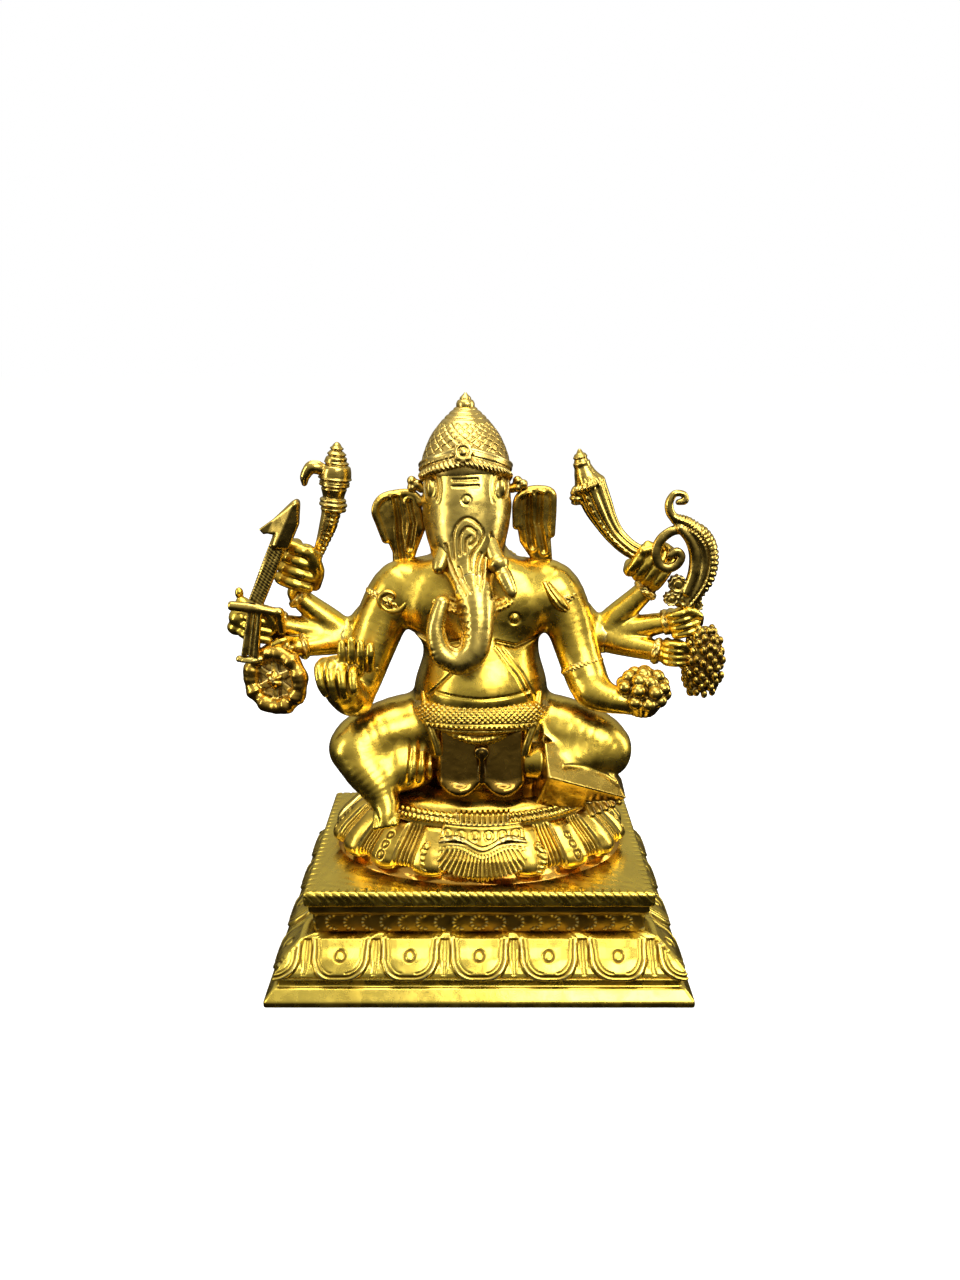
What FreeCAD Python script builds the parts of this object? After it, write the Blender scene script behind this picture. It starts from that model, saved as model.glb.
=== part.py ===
"""Seated eight-armed elephant-headed deity on a stepped rectangular pedestal.

Millimetres. +Z is up, -Y is the front, the origin is the middle of the pedestal's bottom.
"right" and "left" are the deity's own: its right side is at -X, its left side at +X.
Pieces are added in order, and each new one is trimmed by those already placed, so
neighbours meet face to face and never share volume.
"""
import FreeCAD, Part
import math
import os

V = FreeCAD.Vector

# ---- driving dimensions -------------------------------------------------------------
BASE_W = 100.0          # pedestal width at the foot
BASE_D = 70.0           # pedestal depth at the foot
TOTAL_H = 136.0         # foot to finial tip
FOOT_H = 1.2            # upright edge of the plinth
PLINTH_H = 3.6          # top of the plinth's bevel
GROOVE_TOP = 5.5        # underside of the lotus moulding
LIP_TOP = 7.3           # rounded lip of the lotus moulding
LOTUS_TOP = 13.0        # top of the lotus moulding
NECK_TOP = 17.8         # top of the upright neck
CORNICE_TOP = 20.8      # underside of the top plate
PEDESTAL_H = 24.6       # top plate's upper face
WALL = 3.2              # wall of the hollow pedestal
PLATE_INSET = 8.8       # top plate inside the foot, all round
NECK_INSET = 10.6
LOTUS_INSET = 1.5       # lotus lip inside the foot
LOTUS_TOP_INSET = 8.4
GROOVE_INSET = 2.9
BEVEL_INSET = 2.1

SEAT_RX = 37.6          # drape's hem, half width
SEAT_RY = 24.0          # drape's hem, half depth
SEAT_RIM_RX = 28.0
SEAT_RIM_RY = 17.5
RIM_Z = 39.2            # roped rim round the top of the skirt
CORD_R = 1.3
PLEATS = 18             # petals round the skirt
SEAT_TOP = 42.0         # where the figure sits

HEAD_X = -2.9           # the head leans a little to the deity's right
HEAD_Z = 112.0
CROWN_Z = 117.6
CROWN_R = 10.8
FINIAL_Z = 132.4        # neck under the finial
ARM_R = 2.7             # wrist-side radius of the rear forearms
FINGERS = 4
FINGER_R = 1.0

model = {}


# ---- shape helpers ------------------------------------------------------------------
def closed_curve(points):
    curve = Part.BSplineCurve()
    curve.interpolate(points, PeriodicFlag=True)
    return Part.Wire(curve.toShape())


def ring(centre, along, r_side, r_front, side=V(1, 0, 0), count=8):
    """Closed oval across the direction along; side is the way its r_side points."""
    along = V(along).normalize()
    across = V(side) - along * along.dot(side)
    across.normalize()
    third = along.cross(across)
    points = []
    for k in range(count):
        a = 2 * math.pi * k / count
        points.append(centre + across * (r_side * math.cos(a)) + third * (r_front * math.sin(a)))
    return closed_curve(points)


def scalloped(z, rx, ry, depth):
    """Level oval whose edge swells by depth at each pleat of the skirt."""
    points = []
    for k in range(4 * PLEATS):
        a = 2 * math.pi * k / (4 * PLEATS)
        swell = 0.5 * depth * (math.cos(PLEATS * a) - 1.0)
        points.append(V((rx + swell) * math.cos(a), (ry + swell) * math.sin(a), z))
    return closed_curve(points)


def stack(sections):
    """Solid through level ovals, each (z, centre x, centre y, half width, half depth)."""
    wires = [ring(V(x, y, z), V(0, 0, 1), rx, ry) for z, x, y, rx, ry in sections]
    return Part.makeLoft(wires, True, False)


def limb(joints, side=V(0, 1, 0), flat=1.0):
    """Round-ended tapered tube through joints (x, y, z, radius); flat squeezes it across."""
    spots = [V(*j[:3]) for j in joints]
    radii = [j[3] for j in joints]
    wires = []
    last = len(spots) - 1
    for k, (spot, radius) in enumerate(zip(spots, radii)):
        before = spots[max(k - 1, 0)]
        after = spots[min(k + 1, last)]
        way = V(after - before).normalize()
        if k == 0:
            wires.append(ring(spot - way * (0.75 * radius), way, 0.6 * radius,
                              0.6 * radius * flat, side))
        wires.append(ring(spot, way, radius, radius * flat, side))
        if k == last:
            wires.append(ring(spot + way * (0.75 * radius), way, 0.6 * radius,
                              0.6 * radius * flat, side))
    return Part.makeLoft(wires, True, False)


def ellipsoid(centre, rx, ry, rz):
    scale = FreeCAD.Matrix()
    scale.scale(rx, ry, rz)
    scale.move(V(*centre))
    return Part.makeSphere(1.0).transformGeometry(scale)


def ball(centre, radius):
    return Part.makeSphere(radius, V(*centre))


def rod(start, end, radius, end_radius=None):
    start, end = V(*start), V(*end)
    along = end - start
    if end_radius is None or abs(end_radius - radius) < 1e-6:
        return Part.makeCylinder(radius, along.Length, start, along)
    return Part.makeCone(radius, end_radius, along.Length, start, along)


def hoop(centre, along, radius, wire_radius):
    return Part.makeTorus(radius, wire_radius, V(*centre), V(*along))


def plate(points, thickness, y):
    """Flat plate in the X-Z plane: its outline points are (x, z), its front face is at y."""
    corners = [V(x, y, z) for x, z in points]
    face = Part.Face(Part.makePolygon(corners + corners[:1]))
    return face.extrude(V(0, thickness, 0))


def step(z_low, inset_low, z_high, inset_high):
    """Rectangular storey of the pedestal, its sides sloping from one inset to the other."""
    wires = []
    for z, inset in ((z_low, inset_low), (z_high, inset_high)):
        hx = BASE_W / 2 - inset
        hy = BASE_D / 2 - inset
        corners = [V(-hx, -hy, z), V(hx, -hy, z), V(hx, hy, z), V(-hx, hy, z)]
        wires.append(Part.makePolygon(corners + corners[:1]))
    return Part.makeLoft(wires, True, True)


def fuse(shapes):
    return shapes[0].multiFuse(shapes[1:])


def add(node, shape, keep=1):
    """Trim shape by every piece placed before it and keep its largest solids."""
    for placed in model.values():
        if placed.BoundBox.intersect(shape.BoundBox):
            shape = shape.cut(placed)
    solids = sorted(shape.Solids, key=lambda s: s.Volume, reverse=True)[:keep]
    model[node] = solids[0] if keep == 1 else Part.makeCompound(solids)


# ---- pedestal: a hollow casting built up of four storeys ------------------------------
def build_pedestal():
    foot_wall = GROOVE_INSET + WALL
    neck_wall = NECK_INSET + WALL
    cavity = fuse([
        step(-1.0, foot_wall, LIP_TOP, foot_wall),
        step(LIP_TOP, foot_wall, LOTUS_TOP, neck_wall),
        step(LOTUS_TOP, neck_wall, CORNICE_TOP, neck_wall),
    ])
    plinth = fuse([
        step(0, 0, FOOT_H, 0),
        step(FOOT_H, 0, PLINTH_H, BEVEL_INSET),
        step(PLINTH_H, GROOVE_INSET, GROOVE_TOP, GROOVE_INSET),
    ])
    lotus = fuse([
        step(GROOVE_TOP, LOTUS_INSET, LIP_TOP, LOTUS_INSET),
        step(LIP_TOP, LOTUS_INSET, 9.6, 4.0),
        step(9.6, 4.0, LOTUS_TOP, LOTUS_TOP_INSET),
    ])
    neck = fuse([
        step(LOTUS_TOP, NECK_INSET, NECK_TOP, NECK_INSET),
        step(NECK_TOP, NECK_INSET - 0.5, CORNICE_TOP, NECK_INSET - 0.9),
    ])
    add("pedestal_plinth", plinth.cut(cavity))
    add("pedestal_lotus_moulding", lotus.cut(cavity))
    add("pedestal_neck", neck.cut(cavity))
    add("pedestal_top_plate", step(CORNICE_TOP, PLATE_INSET, PEDESTAL_H, PLATE_INSET))


# ---- seat: brazing fillet, pleated skirt, roped rim, cushion, front hanging ------------
def build_seat():
    add("seat_tenon", rod((0, 0, CORNICE_TOP - 6), (0, 0, CORNICE_TOP), 4.0))
    add("seat_braze_fillet", stack([
        (PEDESTAL_H, 0, 0, SEAT_RX - 0.6, SEAT_RY + 1.0),
        (PEDESTAL_H + 0.7, 0, 0, SEAT_RX - 2.0, SEAT_RY - 0.4),
        (PEDESTAL_H + 2.2, 0, 0, SEAT_RX - 3.6, SEAT_RY - 2.0),
    ]))
    fillet_top = PEDESTAL_H + 2.2
    rim = ring(V(SEAT_RIM_RX, 0, RIM_Z), V(0, 1, 0), CORD_R, CORD_R)
    path = ring(V(0, 0, RIM_Z), V(0, 0, 1), SEAT_RIM_RX, SEAT_RIM_RY, count=16)
    add("seat_rim_cord", path.makePipeShell([rim], True, True))
    add("seat_cushion", stack([
        (fillet_top, 0, 0, SEAT_RX - 4.2, SEAT_RY - 2.6),
        (fillet_top + 1.0, 0, 0, SEAT_RX - 4.6, SEAT_RY - 2.9),
        (32.0, 0, 0, SEAT_RX - 7.0, SEAT_RY - 4.6),
        (38.5, 0, 0, SEAT_RIM_RX - 0.6, SEAT_RIM_RY - 0.6),
        (SEAT_TOP - 0.8, 0, 0, SEAT_RIM_RX - 3.0, SEAT_RIM_RY - 2.0),
        (SEAT_TOP, 0, 0, SEAT_RIM_RX - 4.0, SEAT_RIM_RY - 2.5),
    ]))
    add("seat_front_hanging", fuse([
        stack([(25.6, 0.6, -18.0, 12.6, 6.8), (30.0, 0.6, -17.0, 12.4, 6.6),
               (36.0, 0.5, -15.4, 11.0, 5.4)]),
        stack([(35.0, 0.4, -15.6, 9.0, 5.4), (SEAT_TOP - 0.4, 0.4, -14.0, 6.4, 4.6)]),
    ]))
    levels = ((26.9, -2.4, 0.3), (27.3, -1.2, 0.8), (28.6, 0.0, 1.1), (31.0, -1.6, 0.9),
              (34.2, -5.4, 0.6), (37.0, -8.2, 0.3))
    add("seat_skirt", Part.makeLoft(
        [scalloped(z, SEAT_RX + grow, SEAT_RY + 0.72 * grow, depth) for z, grow, depth in levels],
        True, False))


# ---- body and legs --------------------------------------------------------------------
def build_body():
    add("necklace", hoop((-1.4, -1.2, 94.6), (0, -0.55, 1), 11.6, 1.5))
    add("belt", limb([
        (-11.6, -7.8, 63.2, 3.4),
        (-6.2, -11.4, 62.8, 5.0),
        (0.2, -12.8, 62.6, 5.6),
        (6.6, -11.4, 62.8, 5.0),
        (12.0, -7.8, 63.2, 3.4),
    ], V(0, 0, 1)))
    add("torso", stack([
        (SEAT_TOP, 0, 2.0, 16.0, 11.0),
        (SEAT_TOP + 1.2, 0, 1.9, 16.4, 11.4),
        (46.0, 0, 1.4, 16.8, 12.0),
        (50.0, 0, 0.5, 17.0, 13.0),
        (60.0, 0.2, -0.5, 17.0, 14.2),
        (68.0, 0.4, -1.2, 16.4, 15.6),
        (75.0, 0.5, -0.6, 14.4, 13.6),
        (81.0, 0, 0.4, 15.2, 11.6),
        (87.0, -0.6, 0.8, 16.6, 10.6),
        (92.0, -0.8, 1.2, 17.6, 9.4),
        (96.0, -1.0, 1.6, 14.4, 7.8),
        (99.0, -1.6, 1.8, 9.0, 6.6),
        (101.6, -2.2, 2.0, 7.6, 6.1),
        (103.0, -2.4, 2.0, 7.4, 6.0),
    ]))
    add("waist_cloth", fuse([
        limb([(-4.6, -11.4, 58.0, 4.6), (-4.8, -12.0, 53.0, 4.9), (-4.9, -12.4, 48.6, 4.4)]),
        limb([(5.4, -11.4, 58.0, 4.6), (5.6, -12.0, 53.0, 4.9), (5.7, -12.4, 48.6, 4.4)]),
        rod((0.4, -12.0, 50), (0.4, -12.0, 56), 2.6),
    ]))
    for name, s, knee_x in (("right", -1, 30.0), ("left", 1, 31.2)):
        add(name + "_thigh", limb([
            (s * 13.0, -1.0, 56.5, 8.6),
            (s * 20.0, -4.0, 56.0, 8.2),
            (s * (knee_x - 3.0), -6.8, 54.2, 7.0),
            (s * knee_x, -7.6, 53.4, 6.0),
        ], V(0, 0, 1)))
    add("right_shin", limb([
        (-29.6, -10.0, 50.4, 5.2),
        (-26.4, -12.0, 46.6, 5.0),
        (-23.6, -14.0, 43.4, 3.6),
    ]))
    add("right_foot", limb([
        (-23.6, -15.4, 41.8, 2.8),
        (-24.4, -17.8, 40.0, 2.7),
        (-25.4, -19.6, 38.4, 2.0),
    ], V(1, 0, 0)))
    add("left_shin", limb([
        (30.6, -10.2, 50.2, 5.2),
        (24.6, -13.0, 49.8, 4.8),
        (17.6, -15.0, 49.0, 3.6),
    ], V(0, 0, 1)))
    add("left_foot", plate([(14.6, 51.6), (25.0, 50.4), (34.2, 46.2), (30.0, 42.6),
                            (22.0, 41.6), (17.0, 43.6)], 6.0, -18.0))

# ---- head -------------------------------------------------------------------------------
def build_head():
    x = HEAD_X
    add("head", stack([
        (100.8, x, -4.4, 5.8, 5.4),
        (103.0, x, -3.6, 7.2, 7.0),
        (107.0, x, -2.0, 8.6, 8.8),
        (HEAD_Z, x, -0.4, 9.8, 10.0),
        (116.0, x, 0.6, 10.2, 10.4),
        (120.0, x, 1.2, 9.6, 9.6),
    ]))
    add("trunk", limb([
        (x + 0.6, -9.6, 104.4, 5.2),
        (x + 1.9, -11.8, 98.6, 4.1),
        (x + 2.7, -14.2, 91.0, 3.5),
        (x + 2.6, -16.4, 84.8, 3.5),
        (x - 0.2, -17.8, 81.0, 3.4),
        (x - 4.0, -17.8, 81.2, 3.1),
        (x - 6.0, -17.0, 85.0, 2.6),
        (x - 5.4, -16.0, 89.4, 2.2),
    ]))
    add("left_tusk", limb([(3.0, -9.6, 102.0, 2.1), (5.2, -12.2, 97.6, 1.9),
                           (7.0, -14.4, 93.8, 1.3)]))
    add("right_tusk_broken", limb([(-8.2, -9.4, 100.6, 1.9), (-9.0, -10.8, 98.4, 1.8)]))
    for name, s, middle in (("right", -1, 20.2), ("left", 1, 14.6)):
        bottom = middle - 2.6
        add(name + "_ear", limb([
            (s * (middle + 0.8), 1.6, 112.4, 4.6),
            (s * (middle + 0.2), 1.8, 107.4, 4.4),
            (s * (middle - 0.6), 2.0, 102.4, 3.6),
            (s * bottom, 2.2, 97.6, 3.0),
        ], V(1, 0, 0), 0.55))
    add("ear_studs", Part.makeCompound([
        limb([(-13.6, 0.6, 114.6, 1.6), (-15.0, 0.4, 116.6, 1.3)]),
        limb([(8.0, 0.6, 114.6, 1.6), (9.4, 0.4, 116.6, 1.3)]),
    ]), keep=2)


# ---- crown ------------------------------------------------------------------------------
def build_crown():
    x = HEAD_X - 0.2
    add("crown_band", fuse([
        hoop((x, 1.0, CROWN_Z + 0.8), (0, 0.12, 1), CROWN_R - 1.3, 1.5),
        hoop((x, 1.0, CROWN_Z + 3.2), (0, 0.3, 1), CROWN_R - 1.9, 1.3),
        rod((x, -9.4, 123.2), (x, -7.0, 123.6), 2.2),
    ]))
    add("crown_dome", stack([
        (CROWN_Z, x, 1.0, CROWN_R - 1.0, CROWN_R - 1.0),
        (CROWN_Z + 3.2, x, 1.1, 10.3, 10.3),
        (CROWN_Z + 6.0, x, 1.3, 9.3, 9.3),
        (CROWN_Z + 9.0, x, 1.6, 7.9, 7.9),
        (CROWN_Z + 12.6, x, 1.9, 4.9, 4.9),
        (FINIAL_Z, x, 2.0, 2.4, 2.4),
    ]))
    add("crown_finial", stack([
        (FINIAL_Z, x, 2.0, 1.7, 1.7),
        (FINIAL_Z + 1.3, x, 2.0, 2.1, 2.1),
        (FINIAL_Z + 2.6, x, 2.0, 1.2, 1.2),
        (TOTAL_H, x, 2.0, 0.35, 0.35),
    ]))


# ---- arms -------------------------------------------------------------------------------
# rear arms of one side: name, wrist, hand centre, hand half sizes
REAR_ARMS = {
    "right": (
        ("mace", (-43.2, 2.0, 88.0), (-42.6, 1.6, 94.4), (3.6, 3.4, 4.8)),
        ("arrow", (-49.4, 0.0, 82.2), (-53.6, -1.4, 84.0), (4.4, 3.4, 3.8)),
        ("wheel", (-42.6, -1.6, 77.2), (-47.6, -3.2, 77.0), (4.4, 3.0, 2.8)),
    ),
    "left": (
        ("conch", (39.8, 2.0, 91.0), (40.0, 1.4, 97.4), (4.0, 3.4, 4.4)),
        ("bow", (45.2, 0.0, 82.8), (49.0, -1.2, 83.6), (3.8, 3.2, 3.4)),
        ("sprig", (43.0, -2.2, 76.2), (47.4, -3.2, 76.4), (3.6, 3.0, 3.2)),
    ),
}


def finger(start, end, radius):
    """Straight finger with round ends: half a long oval turned about its own length."""
    start, end = V(*start), V(*end)
    length = (end - start).Length
    slant = radius * math.sqrt(0.5)
    profile = Part.Wire([
        Part.Arc(V(-radius, 0, 0), V(-slant, slant, 0), V(0, radius, 0)).toShape(),
        Part.LineSegment(V(0, radius, 0), V(length, radius, 0)).toShape(),
        Part.Arc(V(length, radius, 0), V(length + slant, slant, 0),
                 V(length + radius, 0, 0)).toShape(),
        Part.LineSegment(V(length + radius, 0, 0), V(-radius, 0, 0)).toShape(),
    ])
    solid = Part.Face(profile).revolve(V(0, 0, 0), V(1, 0, 0), 360)
    solid.Placement = FreeCAD.Placement(start, FreeCAD.Rotation(V(1, 0, 0), end - start))
    return solid


def fist(centre, half_sizes):
    """Closed hand: a rounded palm with four fingers laid level across its front."""
    cx, cy, cz = centre
    rx, ry, rz = half_sizes
    levels = ((-1.0, 0.4), (-0.92, 0.62), (-0.5, 0.95), (0.0, 1.0), (0.5, 0.95), (0.92, 0.62),
              (1.0, 0.4))
    palm = stack([(cz + rz * level, cx, cy, rx * part, ry * part) for level, part in levels])
    digits = []
    for k in range(FINGERS):
        z = cz + rz * (0.66 - 1.32 * k / (FINGERS - 1))
        y = cy - 0.86 * ry
        digits.append(finger((cx - 0.5 * rx, y, z), (cx + 0.5 * rx, y, z), FINGER_R))
    return fuse([palm] + digits)


def build_front_arms():
    add("right_upper_arm", limb([
        (-18.6, 0.6, 92.4, 6.0), (-22.6, -1.0, 86.0, 5.8), (-26.0, -4.0, 77.0, 5.0),
        (-29.0, -7.6, 68.6, 4.4),
    ]))
    add("right_forearm", limb([
        (-30.0, -11.0, 66.8, 3.6), (-31.2, -15.0, 68.8, 3.4), (-32.4, -17.2, 72.0, 3.0),
    ]))
    knuckles = [(-35.8 + 2.3 * k, -20.4, 78.0) for k in range(FINGERS)]
    palm = stack([(72.8, -32.6, -18.0, 2.0, 1.6), (73.2, -32.6, -18.0, 3.4, 2.2),
                  (76.0, -32.6, -18.2, 4.4, 3.0), (79.4, -32.6, -18.4, 3.6, 2.4),
                  (80.0, -32.6, -18.4, 2.2, 1.6)])
    add("right_hand", fuse(
        [palm] + [finger((x, y, z), (x + 0.2, y - 0.6, z - 4.4), FINGER_R)
                  for x, y, z in knuckles]))
    add("left_upper_arm", limb([
        (16.8, 0.6, 92.4, 6.0), (20.4, -1.0, 86.0, 5.6), (23.6, -4.0, 77.0, 5.0),
        (26.4, -7.6, 69.6, 4.6),
    ]))
    add("left_forearm", limb([
        (27.4, -10.4, 67.8, 3.9), (31.0, -12.2, 68.2, 3.4), (33.8, -13.6, 68.8, 2.9),
    ], V(0, 0, 1)))


def build_rear_arms():
    shoulders = {"right": (-20.6, 5.4, 88.0), "left": (19.0, 5.4, 88.0)}
    elbows = {"right": (-31.6, 3.4, 77.4), "left": (28.6, 3.4, 78.0)}
    for side, arms in REAR_ARMS.items():
        sx, sy, sz = shoulders[side]
        ex, ey, ez = elbows[side]
        add(side + "_rear_upper_arms", limb([
            (sx, sy, sz, 5.0), (0.5 * (sx + ex), sy - 0.4, 0.5 * (sz + ez), 4.8),
            (ex, ey, ez, 4.4),
        ]))
        for name, wrist, palm, half_sizes in arms:
            wx, wy, wz = wrist
            add("%s_%s_forearm" % (side, name), limb([
                (ex, ey, ez, 3.4), (0.5 * (ex + wx), 0.5 * (ey + wy) + 0.2, 0.5 * (ez + wz), 3.1),
                (wx, wy, wz, ARM_R),
            ], V(0, 1, 0)))


def build_hands():
    for side, arms in REAR_ARMS.items():
        for name, wrist, palm, half_sizes in arms:
            hand = fist(palm, half_sizes)
            if name == "arrow":
                hand = fuse([hand, ball((-57.4, -3.0, 85.4), 2.8), ball((-56.0, -3.2, 88.4), 2.0),
                             finger((-57.0, -3.2, 89.6), (-57.4, -3.2, 91.8), FINGER_R)])
            add("%s_%s_hand" % (side, name), hand)


# ---- what the hands hold --------------------------------------------------------------
def build_right_attributes():
    add("conch_mace", fuse([
        limb([(-41.0, 1.0, 93.0, 1.4), (-39.4, 0.6, 98.6, 1.7), (-36.4, 1.0, 104.4, 2.2),
              (-34.2, 1.6, 110.2, 2.6)]),
        limb([(-33.7, 1.8, 112.8, 2.5), (-33.5, 1.9, 115.4, 3.6), (-33.2, 2.0, 118.4, 3.4),
              (-32.9, 2.0, 121.4, 2.2), (-32.6, 2.0, 124.4, 0.9)]),
        hoop((-33.8, 1.8, 112.2), (0.05, 0, 1), 2.2, 0.8),
        limb([(-36.2, 1.2, 119.4, 0.9), (-38.6, 0.8, 118.4, 1.0), (-39.2, 0.8, 116.0, 0.6)]),
    ]))
    add("arrow", fuse([
        plate([(-41.2, 112.2), (-49.3, 106.6), (-48.2, 105.4), (-45.2, 106.0), (-53.0, 89.6),
               (-50.0, 88.0), (-42.4, 104.6), (-40.4, 103.2)], 1.8, -7.4),
        plate([(-53.2, 89.4), (-55.6, 76.6), (-52.4, 76.0), (-50.2, 88.2)], 1.8, -7.4),
        plate([(-57.0, 89.6), (-56.8, 87.6), (-46.6, 85.6), (-46.2, 87.6)], 3.6, -8.4),
    ]))
    hub = V(-47.6, -6.6, 69.6)
    tilt = V(-0.35, -1.0, 0.1)
    axle = V(tilt).normalize() * 1.5
    parts = [hoop(hub, tilt, 6.2, 1.4), rod(hub - axle, hub + axle, 2.2)]
    side = tilt.cross(V(0, 0, 1)).normalize()
    up = side.cross(tilt).normalize()
    for k in range(6):
        a = math.pi * k / 3
        tip = hub + side * (6.2 * math.cos(a)) + up * (6.2 * math.sin(a))
        parts.append(rod(hub, tip, 0.9))
    add("wheel", fuse(parts))


def build_left_attributes():
    add("conch_trumpet", limb([
        (23.2, 2.0, 121.6, 1.2), (23.8, 2.0, 118.6, 2.6), (25.4, 1.8, 114.6, 4.2),
        (28.4, 1.4, 109.4, 3.4), (31.6, 0.6, 104.4, 2.6), (35.2, -0.6, 100.6, 2.3),
        (39.0, -1.4, 98.6, 2.0),
    ], V(0, 1, 0)))
    arc = [(45.0, 111.6, 0.9), (46.4, 108.6, 1.1), (50.0, 106.8, 1.7), (53.0, 102.8, 2.2),
           (53.6, 97.6, 2.1), (52.0, 92.2, 1.6), (49.6, 88.0, 1.1)]
    parts = [limb([(x, -3.6, z, r) for x, z, r in arc])]
    parts.append(hoop((46.2, -3.6, 112.6), (0, 1, 0), 1.2, 0.7))
    parts.append(hoop((43.8, -3.6, 102.6), (0, 1, 0), 3.6, 0.75))
    parts.append(limb([(46.6, -3.6, 104.6, 0.8), (49.2, -3.6, 106.6, 0.9)]))
    for x, z in ((46.6, 96.6), (45.8, 92.6), (48.2, 90.0)):
        parts.append(rod((x, -4.6, z), (x, -2.6, z), 2.4))
    add("bow", fuse(parts))
    add("sweet_bowl", stack([
        (63.6, 39.4, -12.4, 2.0, 2.0), (65.6, 38.6, -12.4, 4.4, 4.0), (68.4, 38.0, -12.6, 5.6, 5.0),
    ]))
    sweets = []
    for ring_r, z, count in ((4.2, 69.4, 8), (2.6, 72.2, 5), (0.0, 74.4, 1)):
        for k in range(count):
            a = 2 * math.pi * k / count + z
            sweets.append(ball((38.0 + ring_r * math.cos(a), -12.6 + ring_r * math.sin(a), z), 2.0))
    sweets.append(Part.makeSphere(4.2, V(38.0, -12.6, 69.6)))
    add("sweets", fuse(sweets))
    grains = [limb([(50.4, -4.6, 66.4, 0.9), (51.0, -4.6, 72.0, 1.6), (53.6, -4.4, 78.0, 2.8)])]
    for k in range(18):
        level = k // 6
        a = math.pi * (k % 6) / 3 + 0.5 * level
        z = 71.0 + 3.6 * level
        grains.append(ellipsoid((53.8 + 3.4 * math.cos(a), -4.6 + 2.6 * math.sin(a), z),
                                2.0, 1.8, 2.4))
    add("grain_sprig", fuse(grains))


# ---- rings worn on the limbs -------------------------------------------------------------
def build_jewellery():
    add("armlets", Part.makeCompound([
        hoop((-21.4, -0.6, 88.4), (-0.4, -0.2, -0.9), 5.9, 0.9),
        hoop((19.2, -0.6, 88.4), (0.4, -0.2, -0.9), 5.9, 0.9),
        hoop((-27.2, -5.4, 73.6), (-0.3, -0.4, -0.9), 4.9, 0.8),
        hoop((24.8, -5.4, 73.6), (0.3, -0.4, -0.9), 4.9, 0.8),
    ]), keep=4)
    rings = []
    for arms in REAR_ARMS.values():
        for name, wrist, palm, half_sizes in arms:
            along = V(*palm) - V(*wrist)
            rings.append(hoop(wrist, along, ARM_R + 0.2, 0.7))
    add("bracelets", Part.makeCompound(rings), keep=6)


build_pedestal()
build_seat()
build_body()
build_head()
build_crown()
build_jewellery()
build_front_arms()
build_right_attributes()
build_left_attributes()
build_rear_arms()
build_hands()

os.makedirs("parts", exist_ok=True)
for node, shape in model.items():
    shape.exportStep("parts/%s.step" % node)
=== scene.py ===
import math
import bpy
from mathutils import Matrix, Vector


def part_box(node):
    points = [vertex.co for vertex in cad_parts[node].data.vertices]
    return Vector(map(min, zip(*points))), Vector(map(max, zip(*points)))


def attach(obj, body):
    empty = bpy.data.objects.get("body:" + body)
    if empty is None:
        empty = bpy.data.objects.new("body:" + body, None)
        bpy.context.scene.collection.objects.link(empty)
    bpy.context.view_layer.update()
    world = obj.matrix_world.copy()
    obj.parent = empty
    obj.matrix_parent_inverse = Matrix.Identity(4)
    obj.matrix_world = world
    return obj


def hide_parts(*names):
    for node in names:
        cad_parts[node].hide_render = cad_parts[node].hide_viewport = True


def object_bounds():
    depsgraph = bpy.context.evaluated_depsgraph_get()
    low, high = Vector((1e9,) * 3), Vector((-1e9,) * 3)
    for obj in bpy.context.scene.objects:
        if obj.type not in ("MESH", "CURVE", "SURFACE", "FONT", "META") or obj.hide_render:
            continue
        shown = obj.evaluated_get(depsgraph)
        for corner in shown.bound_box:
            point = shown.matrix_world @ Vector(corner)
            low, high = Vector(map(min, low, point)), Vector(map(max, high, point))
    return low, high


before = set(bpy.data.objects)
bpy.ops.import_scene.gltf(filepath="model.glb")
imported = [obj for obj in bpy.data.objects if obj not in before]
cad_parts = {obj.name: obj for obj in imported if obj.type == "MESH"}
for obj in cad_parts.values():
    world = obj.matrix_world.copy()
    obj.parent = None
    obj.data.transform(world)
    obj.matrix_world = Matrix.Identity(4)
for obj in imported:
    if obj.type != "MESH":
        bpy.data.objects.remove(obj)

from concurrent.futures import ThreadPoolExecutor

import bmesh
import bpy
import mathutils
import numpy as np

cad_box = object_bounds()

MM = 0.001                       # every shape below is worked out in millimetres
VOXEL_SCALE = 1.0
F = np.float32
rng = np.random.default_rng(7)


# ---- the frame's own sizes -----------------------------------------------------------
def box_mm(*nodes):
    """Lowest and highest corner of some CAD nodes, in millimetres."""
    corners = [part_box(node) for node in nodes]
    low = np.min([c[0] for c in corners], axis=0) / MM
    high = np.max([c[1] for c in corners], axis=0) / MM
    return low, high


def levels(node):
    low, high = box_mm(node)
    return float(low[2]), float(high[2])


def half_depth(node):
    return 0.5 * float(np.diff(np.array(box_mm(node))[:, 1])[0])


def half_width(node):
    low, high = box_mm(node)
    return 0.5 * float(high[0] - low[0])


FOOT = half_width("pedestal_plinth")
FOOT_DEPTH = half_depth("pedestal_plinth")
SEAT_Z = levels("seat_cushion")[1]


# ---- distance fields -----------------------------------------------------------------
def smin(a, b, k):
    h = np.maximum(k - np.abs(a - b), 0.0) / k
    return np.minimum(a, b) - h * h * k * 0.25


def smax(a, b, k):
    return -smin(-a, -b, k)


def length(v):
    return np.sqrt(np.einsum("ij,ij->i", v, v))


def step01(x, low, high):
    t = np.clip((x - low) / (high - low), 0.0, 1.0)
    return t * t * (3.0 - 2.0 * t)


def line(x, width):
    """1 on the line x = 0, falling smoothly to 0 at a distance of width."""
    t = np.clip(1.0 - np.abs(x) / width, 0.0, 1.0)
    return t * t * (3.0 - 2.0 * t)


def repeat(x):
    """How far x is from the middle of its unit cell."""
    return np.abs(x % 1.0 - 0.5)


def nothing(P):
    """Start of a union: far from every shape."""
    return np.full(len(P), 1e3, F)


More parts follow.
